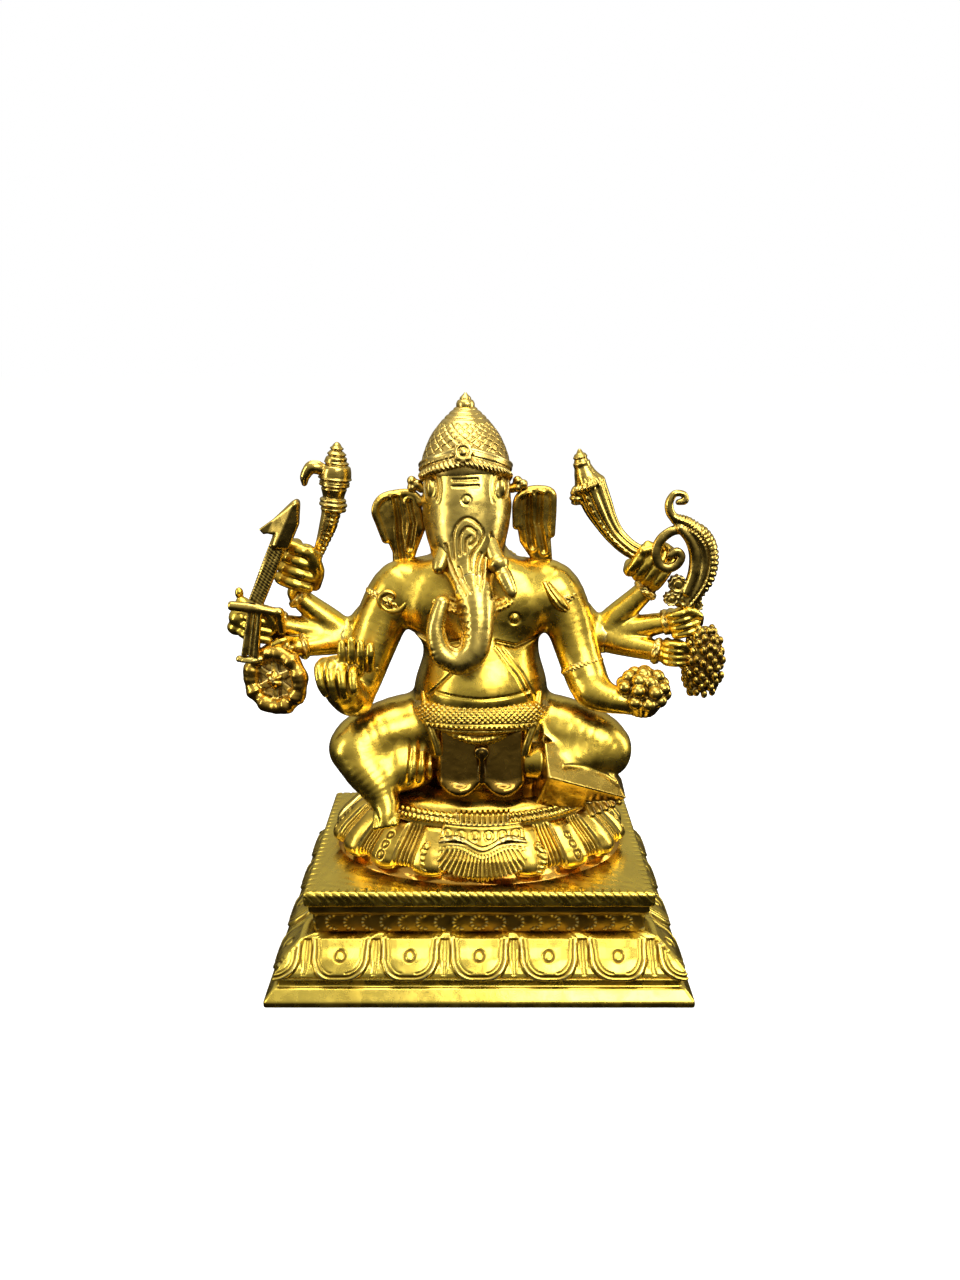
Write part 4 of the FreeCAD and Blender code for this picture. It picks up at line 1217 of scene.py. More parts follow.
def trumpet_form(P):
    d, along, side = trumpet_tube.near(P)
    around = np.arctan2(side[:, 0] + 0.5 * side[:, 2], -side[:, 1])
    for middle, width in ((-0.9, 0.16), (-0.35, 0.12), (0.35, 0.16), (0.95, 0.14)):
        d += 0.38 * line(around - middle, width * 1.6)
    d -= 0.16 * np.sin(along * 90.0) * line(around + 0.62, 0.2)
    spire, place, off = trumpet_spire.near(P)
    spire += 0.3 * line(place - 0.60, 0.06) - 0.25 * line(place - 0.68, 0.06)
    shoulder = hoop(P, (25.3, 1.8, 115.2), (-0.45, 0, 1), 3.2, 0.75)
    q = P - np.array((25.3, 1.8, 115.2), F)
    shoulder -= 0.2 * np.sin(np.arctan2(q[:, 0], q[:, 1]) * 20.0)
    knob = ellipsoid(P, (22.6, 1.4, 112.4), (1.5, 1.6, 1.9)) - 0.15 * np.sin(P[:, 2] * 5.0)
    return smin(smin(smin(d, spire, 0.7), shoulder, 0.4), knob, 0.8)


piece("conch_trumpet", "gilded_attributes", trumpet_form, 0.18, 1.4)


BOW_Y = -3.6
horn = Tube([(45.4, BOW_Y, 112.0, 0.7), (46.8, BOW_Y, 112.4, 0.9), (46.4, BOW_Y, 113.8, 0.75),
             (44.4, BOW_Y, 113.9, 0.8),
             (43.3, BOW_Y, 112.0, 0.95), (43.6, BOW_Y, 109.8, 1.05), (45.0, BOW_Y, 108.2, 1.1),
             (47.6, BOW_Y, 107.0, 1.3), (50.2, BOW_Y, 105.2, 1.7), (52.2, BOW_Y, 102.4, 2.0),
             (53.0, BOW_Y, 98.8, 2.15), (52.6, BOW_Y, 94.6, 2.0), (51.0, BOW_Y, 90.8, 1.6),
             (49.0, BOW_Y, 87.8, 1.2)], 4)
horn_inner = Tube([(46.0, BOW_Y - 0.6, 106.2, 0.6), (48.4, BOW_Y - 0.6, 103.6, 0.8),
                   (49.8, BOW_Y - 0.6, 100.0, 0.9), (49.8, BOW_Y - 0.6, 95.6, 0.9),
                   (48.6, BOW_Y - 0.6, 91.2, 0.9)], 4)
curl = Tube([(47.4, BOW_Y, 105.8, 0.7), (44.4, BOW_Y, 105.4, 0.75), (41.9, BOW_Y, 103.4, 0.8),
             (40.9, BOW_Y, 100.4, 0.8), (41.8, BOW_Y, 97.6, 0.8), (43.9, BOW_Y, 96.6, 0.75),
             (46.0, BOW_Y, 97.6, 0.7), (46.8, BOW_Y, 99.4, 0.65), (45.8, BOW_Y, 100.6, 0.6),
             (44.3, BOW_Y, 99.8, 0.55)], 4)


def bow_form(P):
    d, along, side = horn.near(P)
    x, z = P[:, 0], P[:, 2]
    rib = repeat(along * 46.0) * 1.3
    outer = step01(side[:, 0] + 0.35 * side[:, 2], 0.1, 0.9)
    body = step01(along, 0.42, 0.5)
    d += 0.38 * outer * body * line(rib, 0.4)
    d += 0.4 * body * line(side[:, 0] + 0.25, 0.4) * (side[:, 1] < 0)
    d = smin(d, horn_inner(P), 0.5)
    ring, place, off = curl.near(P)
    d = smin(d - 0.45 * body, ring - 0.4 + 0.35 * line(off[:, 1] + 1.1, 0.45), 0.2)
    for cx, cz, r in ((46.3, 93.0, 2.0), (45.0, 89.4, 1.6), (48.2, 89.6, 1.8), (51.0, 87.8, 1.5)):
        reach = np.hypot(x - cx, z - cz)
        turn = np.arctan2(x - cx, z - cz)
        rose = np.maximum(reach - r - 0.16 * np.cos(9 * turn), np.abs(P[:, 1] - BOW_Y) - 1.3
                          + 0.4 * line(reach - 0.6 * r, 0.4))
        d = smin(d, rose, 0.3)
    return smin(d, ellipsoid(P, (47.2, BOW_Y + 0.2, 90.6), (2.4, 1.2, 3.4)), 0.4)


piece("bow", "gilded_attributes", bow_form, 0.17, 1.0)


BOWL = (38.0, -12.6)
BOWL_LOW, BOWL_TOP = levels("sweet_bowl")


def bowl_form(P):
    u, v, z = P[:, 0] - BOWL[0], P[:, 1] - BOWL[1], P[:, 2]
    reach = np.hypot(u, v)
    radius = 2.2 + 3.1 * ((z - BOWL_LOW) / (BOWL_TOP - BOWL_LOW)).clip(0, 1) ** 0.7
    d = (reach - radius) * 0.8 + 0.1 * np.cos(14 * np.arctan2(u, v))
    d = smax(d, np.maximum(BOWL_LOW + 0.1 - z, z - BOWL_TOP), 0.4)
    lip = np.hypot(reach - 5.0, z - BOWL_TOP + 0.5) - 0.55
    return smin(d, lip, 0.3)


piece("sweet_bowl", "gilded_attributes", bowl_form, 0.19, 1.0)


sweet_places = []
for level, (ring, z, count) in enumerate(((4.9, 68.4, 9), (4.6, 70.8, 8), (3.1, 72.8, 6),
                                          (1.1, 74.2, 2))):
    for k in range(count):
        a = 2 * math.pi * (k + 0.5 * level) / count
        jitter = rng.uniform(-0.5, 0.5, 3)
        sweet_places.append((BOWL[0] + ring * math.cos(a) + jitter[0],
                             BOWL[1] + ring * math.sin(a) + jitter[1], z + jitter[2]))


def sweets_form(P):
    core = ellipsoid(P, (*BOWL, 69.6), (4.4, 4.4, 4.4))
    return smin(core, cluster(P, sweet_places, (1.75, 1.75, 1.65)), 0.2)


piece("sweets", "gilded_attributes", sweets_form, 0.18, 1.8)


grain_places = []
for level in range(11):
    for k in range(9):
        a = 2 * math.pi * (k + 0.5 * (level % 2)) / 9
        swell = 4.5 - 0.09 * abs(level - 4.6) ** 1.9 + rng.uniform(-0.5, 0.4)
        grain_places.append((53.4 + swell * math.cos(a), -4.6 + 0.72 * swell * math.sin(a),
                             67.0 + 1.5 * level + rng.uniform(-0.5, 0.5)))


def sprig_form(P):
    core = ellipsoid(P, (53.4, -4.6, 74.6), (3.9, 2.7, 8.4))
    d = smin(core, cluster(P, grain_places, (0.8, 0.8, 1.05)), 0.35)
    stem = Tube([(47.6, -4.2, 76.2, 1.1), (50.6, -5.4, 75.4, 1.2), (52.6, -5.0, 74.6, 1.0)])(P)
    drop = Tube([(51.4, -5.2, 70.0, 0.8), (51.0, -5.4, 67.8, 0.8), (50.9, -5.4, 66.6, 1.0)])(P)
    return smin(smin(d, stem, 0.4), drop, 0.4)


piece("grain_sprig", "gilded_attributes", sprig_form, 0.18, 4.0)


# ---- pedestal: storeys swept round a rounded rectangle ----------------------------------
CORNER = 0.8
PITCH, FINE_PITCH = 0.26 * VOXEL_SCALE, 0.17 * VOXEL_SCALE
PETALS_FRONT, PETALS_SIDE = 6, 4
WALL = 3.2


def perimeter(pitch):
    """Points round the foot: side number, place along the side (-1 to 1), corner turn."""
    half = np.array([FOOT, FOOT_DEPTH]) - CORNER
    sides, places, turns = [], [], []
    for side in range(4):
        run = half[side % 2]
        n = int(2 * run / pitch)
        sides += [side] * (n + 1)
        places += list(np.linspace(-1, 1, n + 1))
        turns += [0.0] * (n + 1)
        arc = max(3, int(0.5 * math.pi * CORNER / pitch))
        for k in range(1, arc):
            sides.append(side)
            places.append(1.0)
            turns.append(k / arc)
    return np.array(sides), np.array(places), np.array(turns)


SIDES, PLACES, TURNS = perimeter(PITCH)
FACING = np.array([(0, -1), (1, 0), (0, 1), (-1, 0)], float)


def ring_points(inset):
    """One turn round the pedestal at an inset from its foot, and the outward normals."""
    half = np.array([FOOT, FOOT_DEPTH]) - inset - CORNER
    out = FACING[SIDES]
    run = FACING[(SIDES + 1) % 4]
    along = np.where(SIDES % 2 == 0, half[0], half[1])
    across = np.where(SIDES % 2 == 0, half[1], half[0])
    base = out * across[:, None] + run * (along * PLACES)[:, None]
    turn = TURNS * 0.5 * math.pi
    normal = out * np.cos(turn)[:, None] + run * np.sin(turn)[:, None]
    return base + CORNER * normal, normal, along * PLACES


def rounded(points, rounds=2):
    """Profile with its corners eased by cutting them twice."""
    p = np.array(points, float)
    for _ in range(rounds):
        seg = np.linalg.norm(np.diff(p, axis=0), axis=1)
        ease = np.minimum(0.25, 0.22 / np.maximum(seg, 1e-6))[:, None]
        q = np.empty((2 * len(seg), 2))
        q[0::2] = p[:-1] + ease * (p[1:] - p[:-1])
        q[1::2] = p[1:] - ease * (p[1:] - p[:-1])
        p = np.vstack([p[:1], q, p[-1:]])
    return p


def along_profile(points, pitch):
    p = rounded(points)
    seg = np.linalg.norm(np.diff(p, axis=0), axis=1)
    at = np.concatenate([[0], np.cumsum(seg)])
    n = max(4, int(at[-1] / pitch))
    s = np.linspace(0, at[-1], n + 1)
    inset, z = np.interp(s, at, p[:, 0]), np.interp(s, at, p[:, 1])
    tangent = np.gradient(np.stack([inset, z], 1), axis=0)
    tangent /= np.linalg.norm(tangent, axis=1)[:, None]
    return inset, z, tangent


def sweep(name, node, slot, ring, sense, profile, relief, inner, pitch, capped=False):
    """Closed band: a relief face swept round, then plain faces back to its start.

    profile and inner are (offset, z) points; ring(offset) gives one turn of points, their
    normals and places; relief gives the outward swell and the masks of cavities and edges."""
    offset, z, tangent = along_profile(profile, pitch)
    rows, cavities, edges = [], [], []
    for k in range(len(z)):
        spot, normal, place = ring(offset[k])
        swell, cavity, edge = relief(place, z[k], k / (len(z) - 1.0))
        spot = spot + normal * (swell * tangent[k, 1])[:, None]
        rows.append(np.column_stack([spot, z[k] + sense * swell * tangent[k, 0]]))
        cavities.append(cavity)
        edges.append(edge)
    for extra, extra_z in inner:
        spot = ring(extra)[0]
        rows.append(np.column_stack([spot, np.full(len(spot), extra_z)]))
        cavities.append(np.zeros(len(spot)))
        edges.append(np.zeros(len(spot)))
    return swept(name, node, slot, rows, cavities, edges, capped)


def storey(name, node, profile, relief, inner, pitch=PITCH, capped=False):
    sweep(name, node, "gilded_pedestal", ring_points, 1, profile, relief, inner, pitch, capped)


def swept(name, node, slot, rows, cavities, edges, capped=False):
    n, m = len(rows[0]), len(rows)
    grid = np.arange(n * m).reshape(m, n)
    last = m - 1 if capped else m
    a, b = grid[np.arange(last)], grid[(np.arange(last) + 1) % m]
    quads = np.stack([a, np.roll(a, -1, 1), np.roll(b, -1, 1), b], -1).reshape(-1, 4)
    obj = build_mesh(name, np.concatenate(rows), quads, np.concatenate(cavities),
                     np.concatenate(edges))
    if capped:
        mesh = bmesh.new()
        mesh.from_mesh(obj.data)
        mesh.verts.ensure_lookup_table()
        mesh.faces.new([mesh.verts[i] for i in grid[0][::-1]])
        mesh.faces.new([mesh.verts[i] for i in grid[-1]])
        mesh.to_mesh(obj.data)
        mesh.free()
    return finish_piece(obj, [node], slot)


def plain(u, z, t, side=SIDES):
    wave = 0.008 * np.sin(u * 0.31 + 2.0 * side) + 0.004 * np.sin(u * 0.83 + z)
    return wave, np.zeros(len(u)), np.zeros(len(u))


def petal_relief(u, z, t, side=SIDES):
    """Lotus petals with a double outline, a ring in each and darts between them."""
    count = np.where(side % 2 == 0, PETALS_FRONT, PETALS_SIDE)
    shrink = 1.0 - 0.055 * t
    span = np.where(side % 2 == 0, 2 * FOOT - 1.0, 2 * FOOT_DEPTH - 2.0) * shrink
    pitch = span / count
    shift = np.where(side % 2 == 0, 0.0, 0.5)
    v = 10.2 * (t - 0.10)
    lean = 0.035 * u * np.maximum(v - 3.0, 0) / 6.0
    cell = ((u - lean) / pitch + shift + 0.5) % 1.0 - 0.5
    x = cell * pitch
    half = 0.5 * pitch - 1.15 + 0.06 * np.maximum(v - 5.5, 0) ** 1.5
    corner = 5.6
    qx = np.maximum(np.abs(x) - (half - corner), 0.0)
    qv = np.maximum(corner - v, 0.0)
    rim = np.hypot(qx, qv) - corner
    petal = np.clip(-rim / 0.5, 0.0, 1.0)
    petal = petal * petal * (3 - 2 * petal)
    swell = -0.75 + 0.75 * petal + 0.35 * petal * np.clip(-rim / 4.0, 0, 1)
    inside = line(rim + 1.35, 0.42) * (v > 1.0)
    outline = line(rim + 0.1, 0.5)
    second = line(rim + 2.1, 0.3) * (v > 2.0) * (np.abs(x) > 1.5)
    ring = line(np.hypot(x, v - 5.4) - 1.15, 0.42)
    dart = line(np.abs(np.abs(x) - 0.5 * pitch) - 0.28, 0.35) * (v > 1.5)
    fan = line(np.abs(np.abs(x) - 0.5 * pitch + 0.04 * (v - 2.0) ** 1.5) - 0.9, 0.3) * (v > 3.2)
    swell = swell - 0.34 * inside - 0.2 * second - 0.34 * ring - 0.25 * dart - 0.2 * fan
    fade = np.clip(t / 0.06, 0, 1) * np.clip((1.0 - t) / 0.03, 0, 1)
    cavity = np.clip(0.9 * inside + 0.7 * second + 0.9 * ring + 0.6 * outline + 0.7 * dart
                     + 0.6 * fan, 0, 1)
    edge = np.clip(line(rim + 0.75, 0.4) * 0.8, 0, 1)
    return swell * fade, cavity * fade, edge * fade


def crescent_relief(u, z, t):
    """Rows of punched crescents, their ticks spread like rays."""
    low, high = levels("pedestal_neck")
    pitch = 4.3
    middle = low + 0.34 * (high - low)
    k = np.round(u / pitch)
    x = u - k * pitch
    v = z - middle
    reach = np.hypot(x, v)
    angle = np.arctan2(v, x)
    hand = np.where(k > 0, np.cos(angle) > -0.15, np.cos(angle) < 0.15)
    hand = np.where(k == 0, True, hand)
    tick = step01(np.cos(angle * 12.0), -0.4, 0.3) * line(reach - 1.85, 0.75) * hand
    dot = line(np.hypot(x + 0.5 * np.sign(k + 0.1), v + 1.9), 0.35)
    field = (z < low + 0.66 * (high - low)) & (z > low + 0.05)
    mark = np.maximum(tick, dot) * field
    swell = 0.2 * mark + plain(u, z, t)[0]
    step_line = np.full(len(u), 0.6 * line(z - (low + 0.63 * (high - low)), 0.3))
    return swell, step_line, mark


def rope_relief(u, z, t, side=SIDES):
    """Slanting cuts along the edge of the top plate."""
    edge = step01(t, 0.16, 0.24) * (1 - step01(t, 0.52, 0.62))
    low, high = levels("pedestal_top_plate")
    drift = 0.35 * np.sin(u * 0.37 + side)
    phase = ((u + drift - 0.8 * (high - z)) / 2.1) % 1.0 - 0.5
    edge = edge * step01(z, high - 2.6, high - 1.9)
    cut = line(phase * 2.1, 0.34) * edge
    wave = 0.03 * np.sin(u * 0.31 + side) + 0.02 * np.sin(u * 0.83 + t * 40.0)
    return wave * (1 - edge) - 0.24 * cut, 0.6 * cut, 0.15 * edge * (1 - cut)


plinth_high = levels("pedestal_plinth")[1]
lotus_low, lotus_high = levels("pedestal_lotus_moulding")
neck_low, neck_high = levels("pedestal_neck")
plate_low, plate_high = levels("pedestal_top_plate")
LOTUS_FOOT = FOOT - half_width("pedestal_lotus_moulding")
NECK_IN = FOOT - half_width("pedestal_neck")
PLATE_IN = FOOT - half_width("pedestal_top_plate")
PLINTH_STEP = 2.9
LOTUS_HEAD = NECK_IN - 1.4
foot_wall, neck_wall = PLINTH_STEP + WALL, NECK_IN + 0.9 + WALL


storey("plinth", "pedestal_plinth",
       [(0.05, 0.02), (0.05, 1.3), (PLINTH_STEP - 0.8, 3.6), (PLINTH_STEP, 3.7),
        (PLINTH_STEP, plinth_high)], plain,
       [(foot_wall, plinth_high), (foot_wall, 0.02), (1.5, 0.02)])
storey("lotus_moulding", "pedestal_lotus_moulding",
       [(PLINTH_STEP + 0.3, lotus_low), (LOTUS_FOOT + 0.35, lotus_low + 0.05),
        (LOTUS_FOOT + 0.02, lotus_low + 0.9), (LOTUS_FOOT + 0.5, 7.7), (4.2, 9.9),
        (6.4, 11.4), (LOTUS_HEAD, lotus_high)], petal_relief,
       [(neck_wall, lotus_high), (foot_wall, lotus_low + 1.8), (foot_wall, lotus_low)],
       FINE_PITCH)
storey("neck", "pedestal_neck",
       [(NECK_IN + 0.9, neck_low), (NECK_IN + 0.9, neck_low + 4.8),
        (NECK_IN + 0.45, neck_low + 5.0),
        (NECK_IN + 0.05, neck_low + 5.8), (NECK_IN + 0.05, neck_high)], crescent_relief,
       [(neck_wall, neck_high), (neck_wall, neck_low)], FINE_PITCH)
storey("top_plate", "pedestal_top_plate",
       [(PLATE_IN + 3.0, plate_low), (PLATE_IN + 0.1, plate_low + 0.02),
        (PLATE_IN + 0.02, plate_low + 0.5), (PLATE_IN + 0.02, plate_high - 0.7),
        (PLATE_IN + 0.6, plate_high - 0.02), (PLATE_IN + 8.0, plate_high - 0.02)], rope_relief,
       [(PLATE_IN + 14.0, plate_high), (PLATE_IN + 22.0, plate_high)], capped=True)


# ---- seat: skirt, cord, cushion and hanging ------------------------------------------------
SKIRT_RX = half_width("seat_skirt")
SKIRT_RY = half_depth("seat_skirt")
skirt_low, skirt_high = levels("seat_skirt")
OVAL_DEPTH = 0.72                # the oval grows this much in depth for 1 in width
PLEATS = 18


def oval_ring(count):
    """Turns round the seat's oval, for offsets outwards from the foot of the skirt."""
    angle = np.arange(count) * 2.0 * math.pi / count
    cos, sin = np.cos(angle), np.sin(angle)
    normal = np.column_stack([cos / SKIRT_RX, sin / SKIRT_RY])
    normal /= np.linalg.norm(normal, axis=1)[:, None]

    def ring(grow):
        rx, ry = SKIRT_RX + grow, SKIRT_RY + OVAL_DEPTH * grow
        return np.column_stack([rx * cos, ry * sin]), normal, angle
    return ring


def pleat_relief(angle, z, t):
    """Broad lappets with punched rings, and narrow folds between them."""
    cell = (angle + 0.5 * math.pi) * PLEATS / (2 * math.pi) + 0.5
    x = cell % 1.0 - 0.5
    number = np.floor(cell)
    wide = 0.5 + 0.5 * np.cos(2 * math.pi * x)
    lappet = step01(0.30 - np.abs(x), 0.0, 0.06)
    folds = line((np.abs(x) - 0.36) * 10.0, 0.45) + line((np.abs(x) - 0.46) * 10.0, 0.4)
    hem = np.clip((1.0 - t) * 7.0, 0, 1)
    droop = 0.9 * (wide - 0.5)
    swell = 0.55 * lappet - 0.5 * folds + droop * (1 - 0.7 * t) + 0.25 * wide
    swell = swell * (0.35 + 0.65 * hem)
    width = 2 * math.pi * (0.5 * (SKIRT_RX + SKIRT_RY)) / PLEATS * (1 - 0.22 * t)
    marks = np.zeros(len(angle))
    for spot in (0.30, 0.48, 0.66):
        ring = np.hypot(x * width, (t - spot) * 12.0)
        marks = np.maximum(marks, line(ring - 0.72, 0.32))
    marks = marks * (number % 2 == 0)
    hem_line = line((t - 0.14) * 12.0, 0.35) * lappet
    swell = swell - 0.25 * marks - 0.25 * hem_line + 0.04 * np.sin(angle * 47 + t * 9)
    cavity = np.clip(0.8 * folds + marks + 0.7 * hem_line, 0, 1)
    edge = np.clip(line((np.abs(x) - 0.27) * 10.0, 0.3), 0, 1) * 0.9
    return swell * (1 - step01(t, 0.94, 1.0)), cavity, edge


sweep("seat_skirt", "seat_skirt", "gilded_cloth", oval_ring(int(1350 / VOXEL_SCALE)), -1,
      [(-3.4, skirt_low + 0.02), (-1.9, skirt_low + 0.05), (-1.1, skirt_low + 1.0),
       (-1.3, skirt_low + 2.2), (-2.8, 31.2), (-5.6, 34.0), (-8.6, skirt_high - 0.1)],
      pleat_relief, [(-12.0, skirt_high - 0.3), (-12.0, skirt_low)], 0.25 * VOXEL_SCALE)


def fillet_relief(angle, z, t):
    lump = 0.3 * np.sin(angle * 7 + 1) * np.sin(angle * 3) + 0.12 * np.sin(angle * 23 + z)
    return lump * (1 - t) * t * 4, np.zeros(len(angle)), np.zeros(len(angle))


fillet_low, fillet_high = levels("seat_braze_fillet")
sweep("braze_fillet", "seat_braze_fillet", "braze_lacquer", oval_ring(int(700 / VOXEL_SCALE)), -1,
      [(-1.2, fillet_low - 0.1), (-1.9, fillet_low + 0.35), (-3.0, fillet_low + 0.9),
       (-4.2, fillet_high)], fillet_relief,
      [(-12.0, fillet_high), (-12.0, fillet_low - 0.1)], 0.3 * VOXEL_SCALE)


CORD_RX = half_width("seat_rim_cord") - 1.3
CORD_RY = 0.625 * CORD_RX


def cord_form(P):
    z = P[:, 2]
    u, v = P[:, 0] / CORD_RX, P[:, 1] / CORD_RY
    k0 = np.hypot(u, v)
    k1 = np.hypot(u / CORD_RX, v / CORD_RY)
    out = k0 * (k0 - 1.0) / np.maximum(k1, 1e-6)
    angle = np.arctan2(v, u)
    d = nothing(P)
    for level, ring, thick, beads in ((38.5, 0.5, 0.75, 150), (39.7, -0.2, 0.8, 110)):
        bead = 0.16 * np.sin(angle * beads + (z - level) * 3.0)
        d = smin(d, np.hypot(out - ring, z - level) - thick - bead, 0.2)
    return d


piece("seat_rim_cord", "gilded_cloth", cord_form, 0.22, 1.0)


cushion_stack = Stack([(26.8, 0, 0, 31.0, 20.0), (32, 0, 0, 29.6, 18.8), (37.5, 0, 0, 28.2, 17.6),
                       (40.2, 0, 0, 27.2, 16.8), (41.4, 0, 0, 25.6, 15.8),
                       (SEAT_Z, 0, 0, 24.0, 14.8)], rounding=1.2)


def cushion_form(P):
    d = cushion_stack.oval(P)
    lumps = np.sin(P[:, 0] * 0.7) * np.sin(P[:, 1] * 0.9 + 1.0)
    return d - 0.14 * lumps


piece("seat_cushion", "gilded_cloth", cushion_form, 0.5, 0.6)


def skirt_front(z):
    """How far forward the skirt reaches at a height."""
    grow = np.interp(z, [skirt_low, 28.0, 31.2, 34.0, skirt_high, 42.0],
                     [-1.6, -1.1, -2.8, -5.6, -8.6, -11.5])
    return -(SKIRT_RY + OVAL_DEPTH * grow)


def hanging_form(P):
    """Cloth over the front of the seat: gadroons, two scalloped bands and a fringe."""
    x, y, z = P[:, 0] - 0.8, P[:, 1], P[:, 2]
    away = skirt_front(z).astype(F) + 0.018 * x * x
    steep = np.interp(z, [28.0, 31.0, 38.0, 41.0], [1.05, 1.2, 1.25, 1.1]).astype(F)

    def band(low, high, half, thick):
        side = np.maximum(np.abs(x) - half, np.maximum(low - z, z - high))
        return smax(side, (np.abs(y - away + 0.2) - thick) / steep, 0.4)

    scallop = 0.6 * np.cos(x * 0.55) - 0.07 * np.abs(x)
    fringe_low = 26.2 + 0.26 * np.abs(x)
    fringe = band(fringe_low, 34.0, 13.6 - 0.35 * (z - 29.0), 1.9)
    ray = np.arctan2(x, 44.0 - z)
    fringe += 0.42 * line(repeat(ray * 15.0) * 1.05, 0.36)
    middle = band(32.2 - scallop, 34.4, 12.2 - 0.15 * np.abs(z - 33), 1.9)
    middle += 0.25 * line(z - 32.9 + scallop, 0.3)
    upper = band(33.9 - 1.1 * scallop, 38.6, 11.0 - 0.35 * (z - 33), 2.3)
    upper += 0.28 * line(z - 34.7 + 1.1 * scallop, 0.3) + 0.25 * line(z - 38.0, 0.3)
    for centre in (-8.2, -5.0, -1.8, 1.4, 4.6, 7.8):
        upper += 0.28 * line(np.hypot(x - centre, (z - 36.2) * 1.05) - 0.95, 0.4)
    gadroon = band(38.2, 40.9, 6.0 + 0.2 * (z - 38), 2.3)
    gadroon += 0.42 * line(repeat(x / 1.25) * 1.25, 0.45)
    tails = nothing(P)
    for side in (-1, 1):
        tail = Tube([(0.8 + side * 13.0, -19.6, 33.4, 1.0), (0.8 + side * 14.4, -20.4, 30.4, 1.7),
                     (0.8 + side * 13.4, -21.4, 28.0, 1.4)])
        tails = np.minimum(tails, tail(P))
    tails += 0.25 * line(repeat(z / 1.3 + 0.2 * x) * 1.3, 0.4)
    d = np.minimum(np.minimum(fringe, middle), np.minimum(upper, gadroon))
    return smin(d, tails, 0.4)


piece("seat_front_hanging", "gilded_cloth", hanging_form, 0.2, 3.0)


# ---- build every sculpted piece -------------------------------------------------------------
def sculpt(job):
    _, nodes, _, field, voxel, margin = job
    low, high = box_mm(*nodes)
    low = np.maximum(low - margin, np.array(cad_box[0]) / MM + 0.02)
    high = np.minimum(high + margin, np.array(cad_box[1]) / MM - 0.02)
    step = voxel * VOXEL_SCALE
    wall_low, wall_high = low.astype(F), high.astype(F)

    def trimmed(P):
        walls = np.maximum(wall_low - P, P - wall_high).max(axis=1)
        return np.maximum(field(P), walls)

    return surface(trimmed, low - 2 * step, high + 2 * step, step)


def work(job):
    """Rough cost of a piece, to start the long ones first."""
    low, high = box_mm(*job[1])
    return np.prod(high - low) / job[4]


jobs = sorted(PIECES, key=work, reverse=True)
with ThreadPoolExecutor(4) as pool:
    for job, mesh in zip(jobs, pool.map(sculpt, jobs)):
        finish_piece(build_mesh(job[0], *mesh), job[1], job[2])
tenon = bpy.data.objects["seat_tenon"]
tenon.data.materials.clear()
tenon.data.materials.append(METALS["braze_lacquer"])


# ---- floor, light and camera -----------------------------------------------------------
FLOOR_REACH = 12.0               # m
FLOOR_DROP = 0.0001              # m below the foot, so that the two never share a plane
LENS, SENSOR = 25.31, 36.0       # mm
CAMERA_PLACE = (0.0002, -0.2087, 0.1420)
CAMERA_DROP = 17.03              # degrees that it looks down
SOFTBOXES = [                    # name, place, aim, size (m), power (W)
    ("front_key", (0.20, -0.40, 0.40), (0, 0, 0.07), (0.34, 0.24), 1.65),
    ("overhead", (-0.05, -0.05, 0.62), (0, 0, 0.05), (0.42, 0.34), 2.0),
    ("left_strip", (-0.45, -0.22, 0.20), (0, 0, 0.08), (0.08, 0.34), 0.6),
    ("right_strip", (0.50, 0.02, 0.22), (0, 0, 0.08), (0.12, 0.36), 0.9)]


def stage():
    mesh = bpy.data.meshes.new("floor")
    mesh.from_pydata([(a * FLOOR_REACH, b * FLOOR_REACH, 0) for a, b in
                      ((-1, -1), (1, -1), (1, 1), (-1, 1))], [], [(0, 1, 2, 3)])
    floor = bpy.data.objects.new("floor", mesh)
    bpy.context.scene.collection.objects.link(floor)
    floor.location.z = -FLOOR_DROP
    mat = bpy.data.materials.new("pale_floor")
    mat.use_nodes = True
    shader = mat.node_tree.nodes["Principled BSDF"]
    shader.inputs["Base Color"].default_value = (0.86, 0.86, 0.85, 1)
    shader.inputs["Roughness"].default_value = 0.9
    shader.inputs["Emission Color"].default_value = (1.0, 1.0, 0.99, 1)
    shader.inputs["Emission Strength"].default_value = 0.62
    mesh.materials.append(mat)
    floor.visible_glossy = False


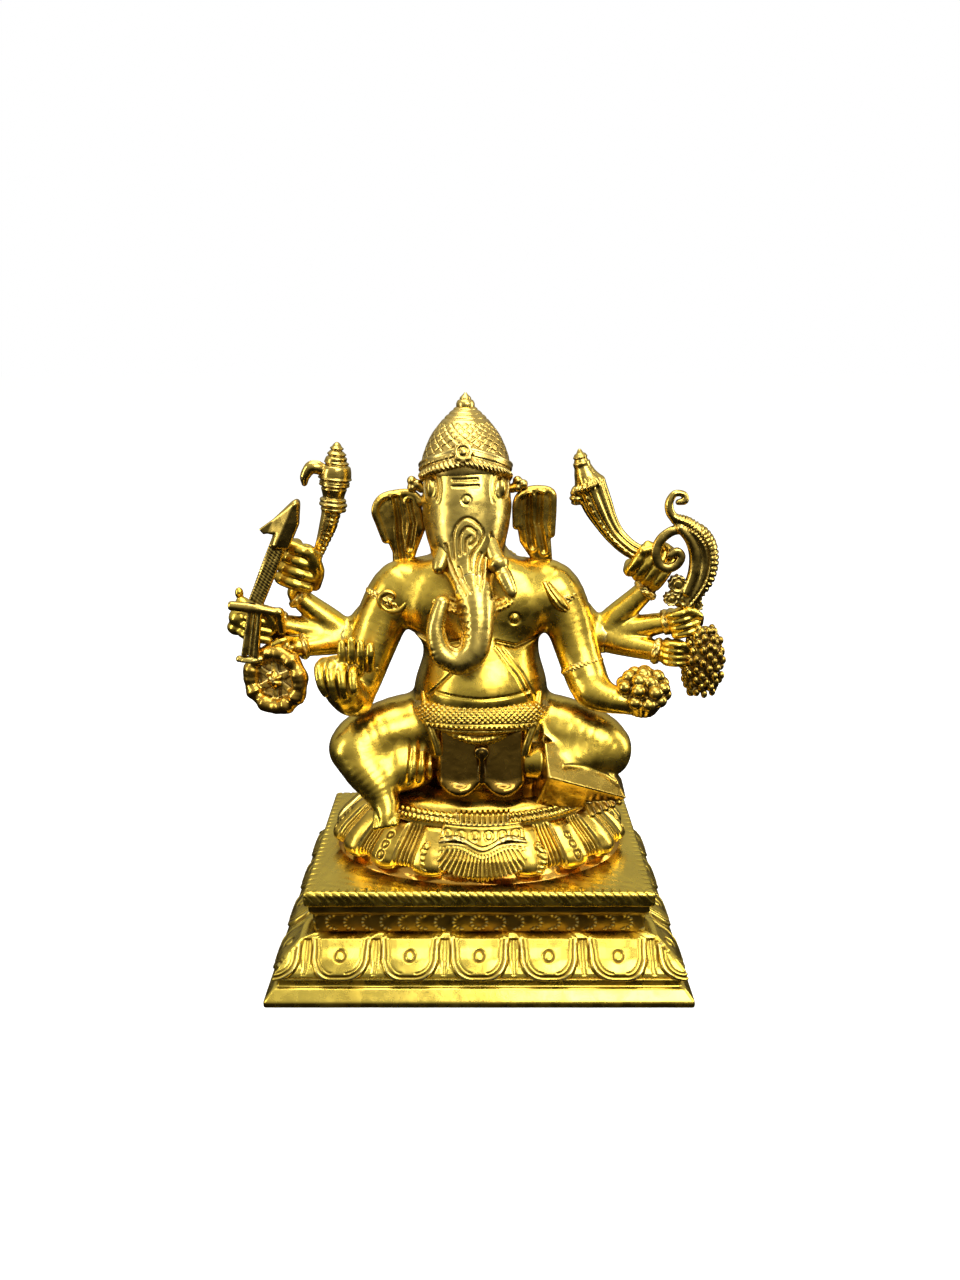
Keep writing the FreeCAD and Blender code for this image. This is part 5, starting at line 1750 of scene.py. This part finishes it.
def softbox(name, place, aim, size, power):
    light = bpy.data.lights.new(name, "AREA")
    light.shape = "RECTANGLE"
    light.size, light.size_y = size
    light.energy = power
    light.color = (1.0, 0.98, 0.94)
    lamp = bpy.data.objects.new(name, light)
    lamp.location = place
    way = mathutils.Vector(aim) - mathutils.Vector(place)
    lamp.rotation_euler = way.to_track_quat("-Z", "Y").to_euler()
    bpy.context.scene.collection.objects.link(lamp)


def studio_world():
    world = bpy.data.worlds.new("studio")
    bpy.context.scene.world = world
    world.use_nodes = True
    nodes, links = world.node_tree.nodes, world.node_tree.links
    back = nodes["Background"]
    sky = nodes.new("ShaderNodeTexCoord")
    axis = nodes.new("ShaderNodeSeparateXYZ")
    links.new(sky.outputs["Generated"], axis.inputs[0])
    ramp = nodes.new("ShaderNodeValToRGB")
    dark, light = ramp.color_ramp.elements
    dark.position, dark.color = 0.36, (0.012, 0.010, 0.008, 1)
    light.position, light.color = 0.9, (0.55, 0.55, 0.55, 1)
    ramp.color_ramp.elements.new(0.56).color = (0.22, 0.21, 0.18, 1)
    span = nodes.new("ShaderNodeMapRange")
    span.inputs["From Min"].default_value = -1.0
    links.new(axis.outputs["Z"], span.inputs["Value"])
    links.new(span.outputs["Result"], ramp.inputs["Fac"])
    path = nodes.new("ShaderNodeLightPath")
    mix = nodes.new("ShaderNodeMix")
    mix.data_type = "RGBA"
    links.new(path.outputs["Is Camera Ray"], mix.inputs[0])
    links.new(ramp.outputs["Color"], mix.inputs[6])
    mix.inputs[7].default_value = (1.0, 1.0, 1.0, 1)
    links.new(mix.outputs[2], back.inputs["Color"])
    bpy.context.scene.view_settings.view_transform = "Standard"


def camera():
    data = bpy.data.cameras.new("view")
    data.sensor_width = SENSOR
    data.sensor_fit = "AUTO"
    data.lens = LENS
    data.clip_start = 0.01
    cam = bpy.data.objects.new("view", data)
    cam.location = CAMERA_PLACE
    cam.rotation_euler = (math.radians(90.0 - CAMERA_DROP), 0.0, 0.0)
    bpy.context.scene.collection.objects.link(cam)
    bpy.context.scene.camera = cam


for leftover in ("Cube", "Light", "Camera"):
    if leftover in bpy.data.objects:
        bpy.data.objects.remove(bpy.data.objects[leftover])
stage()
studio_world()
for lamp in SOFTBOXES:
    softbox(*lamp)
camera()
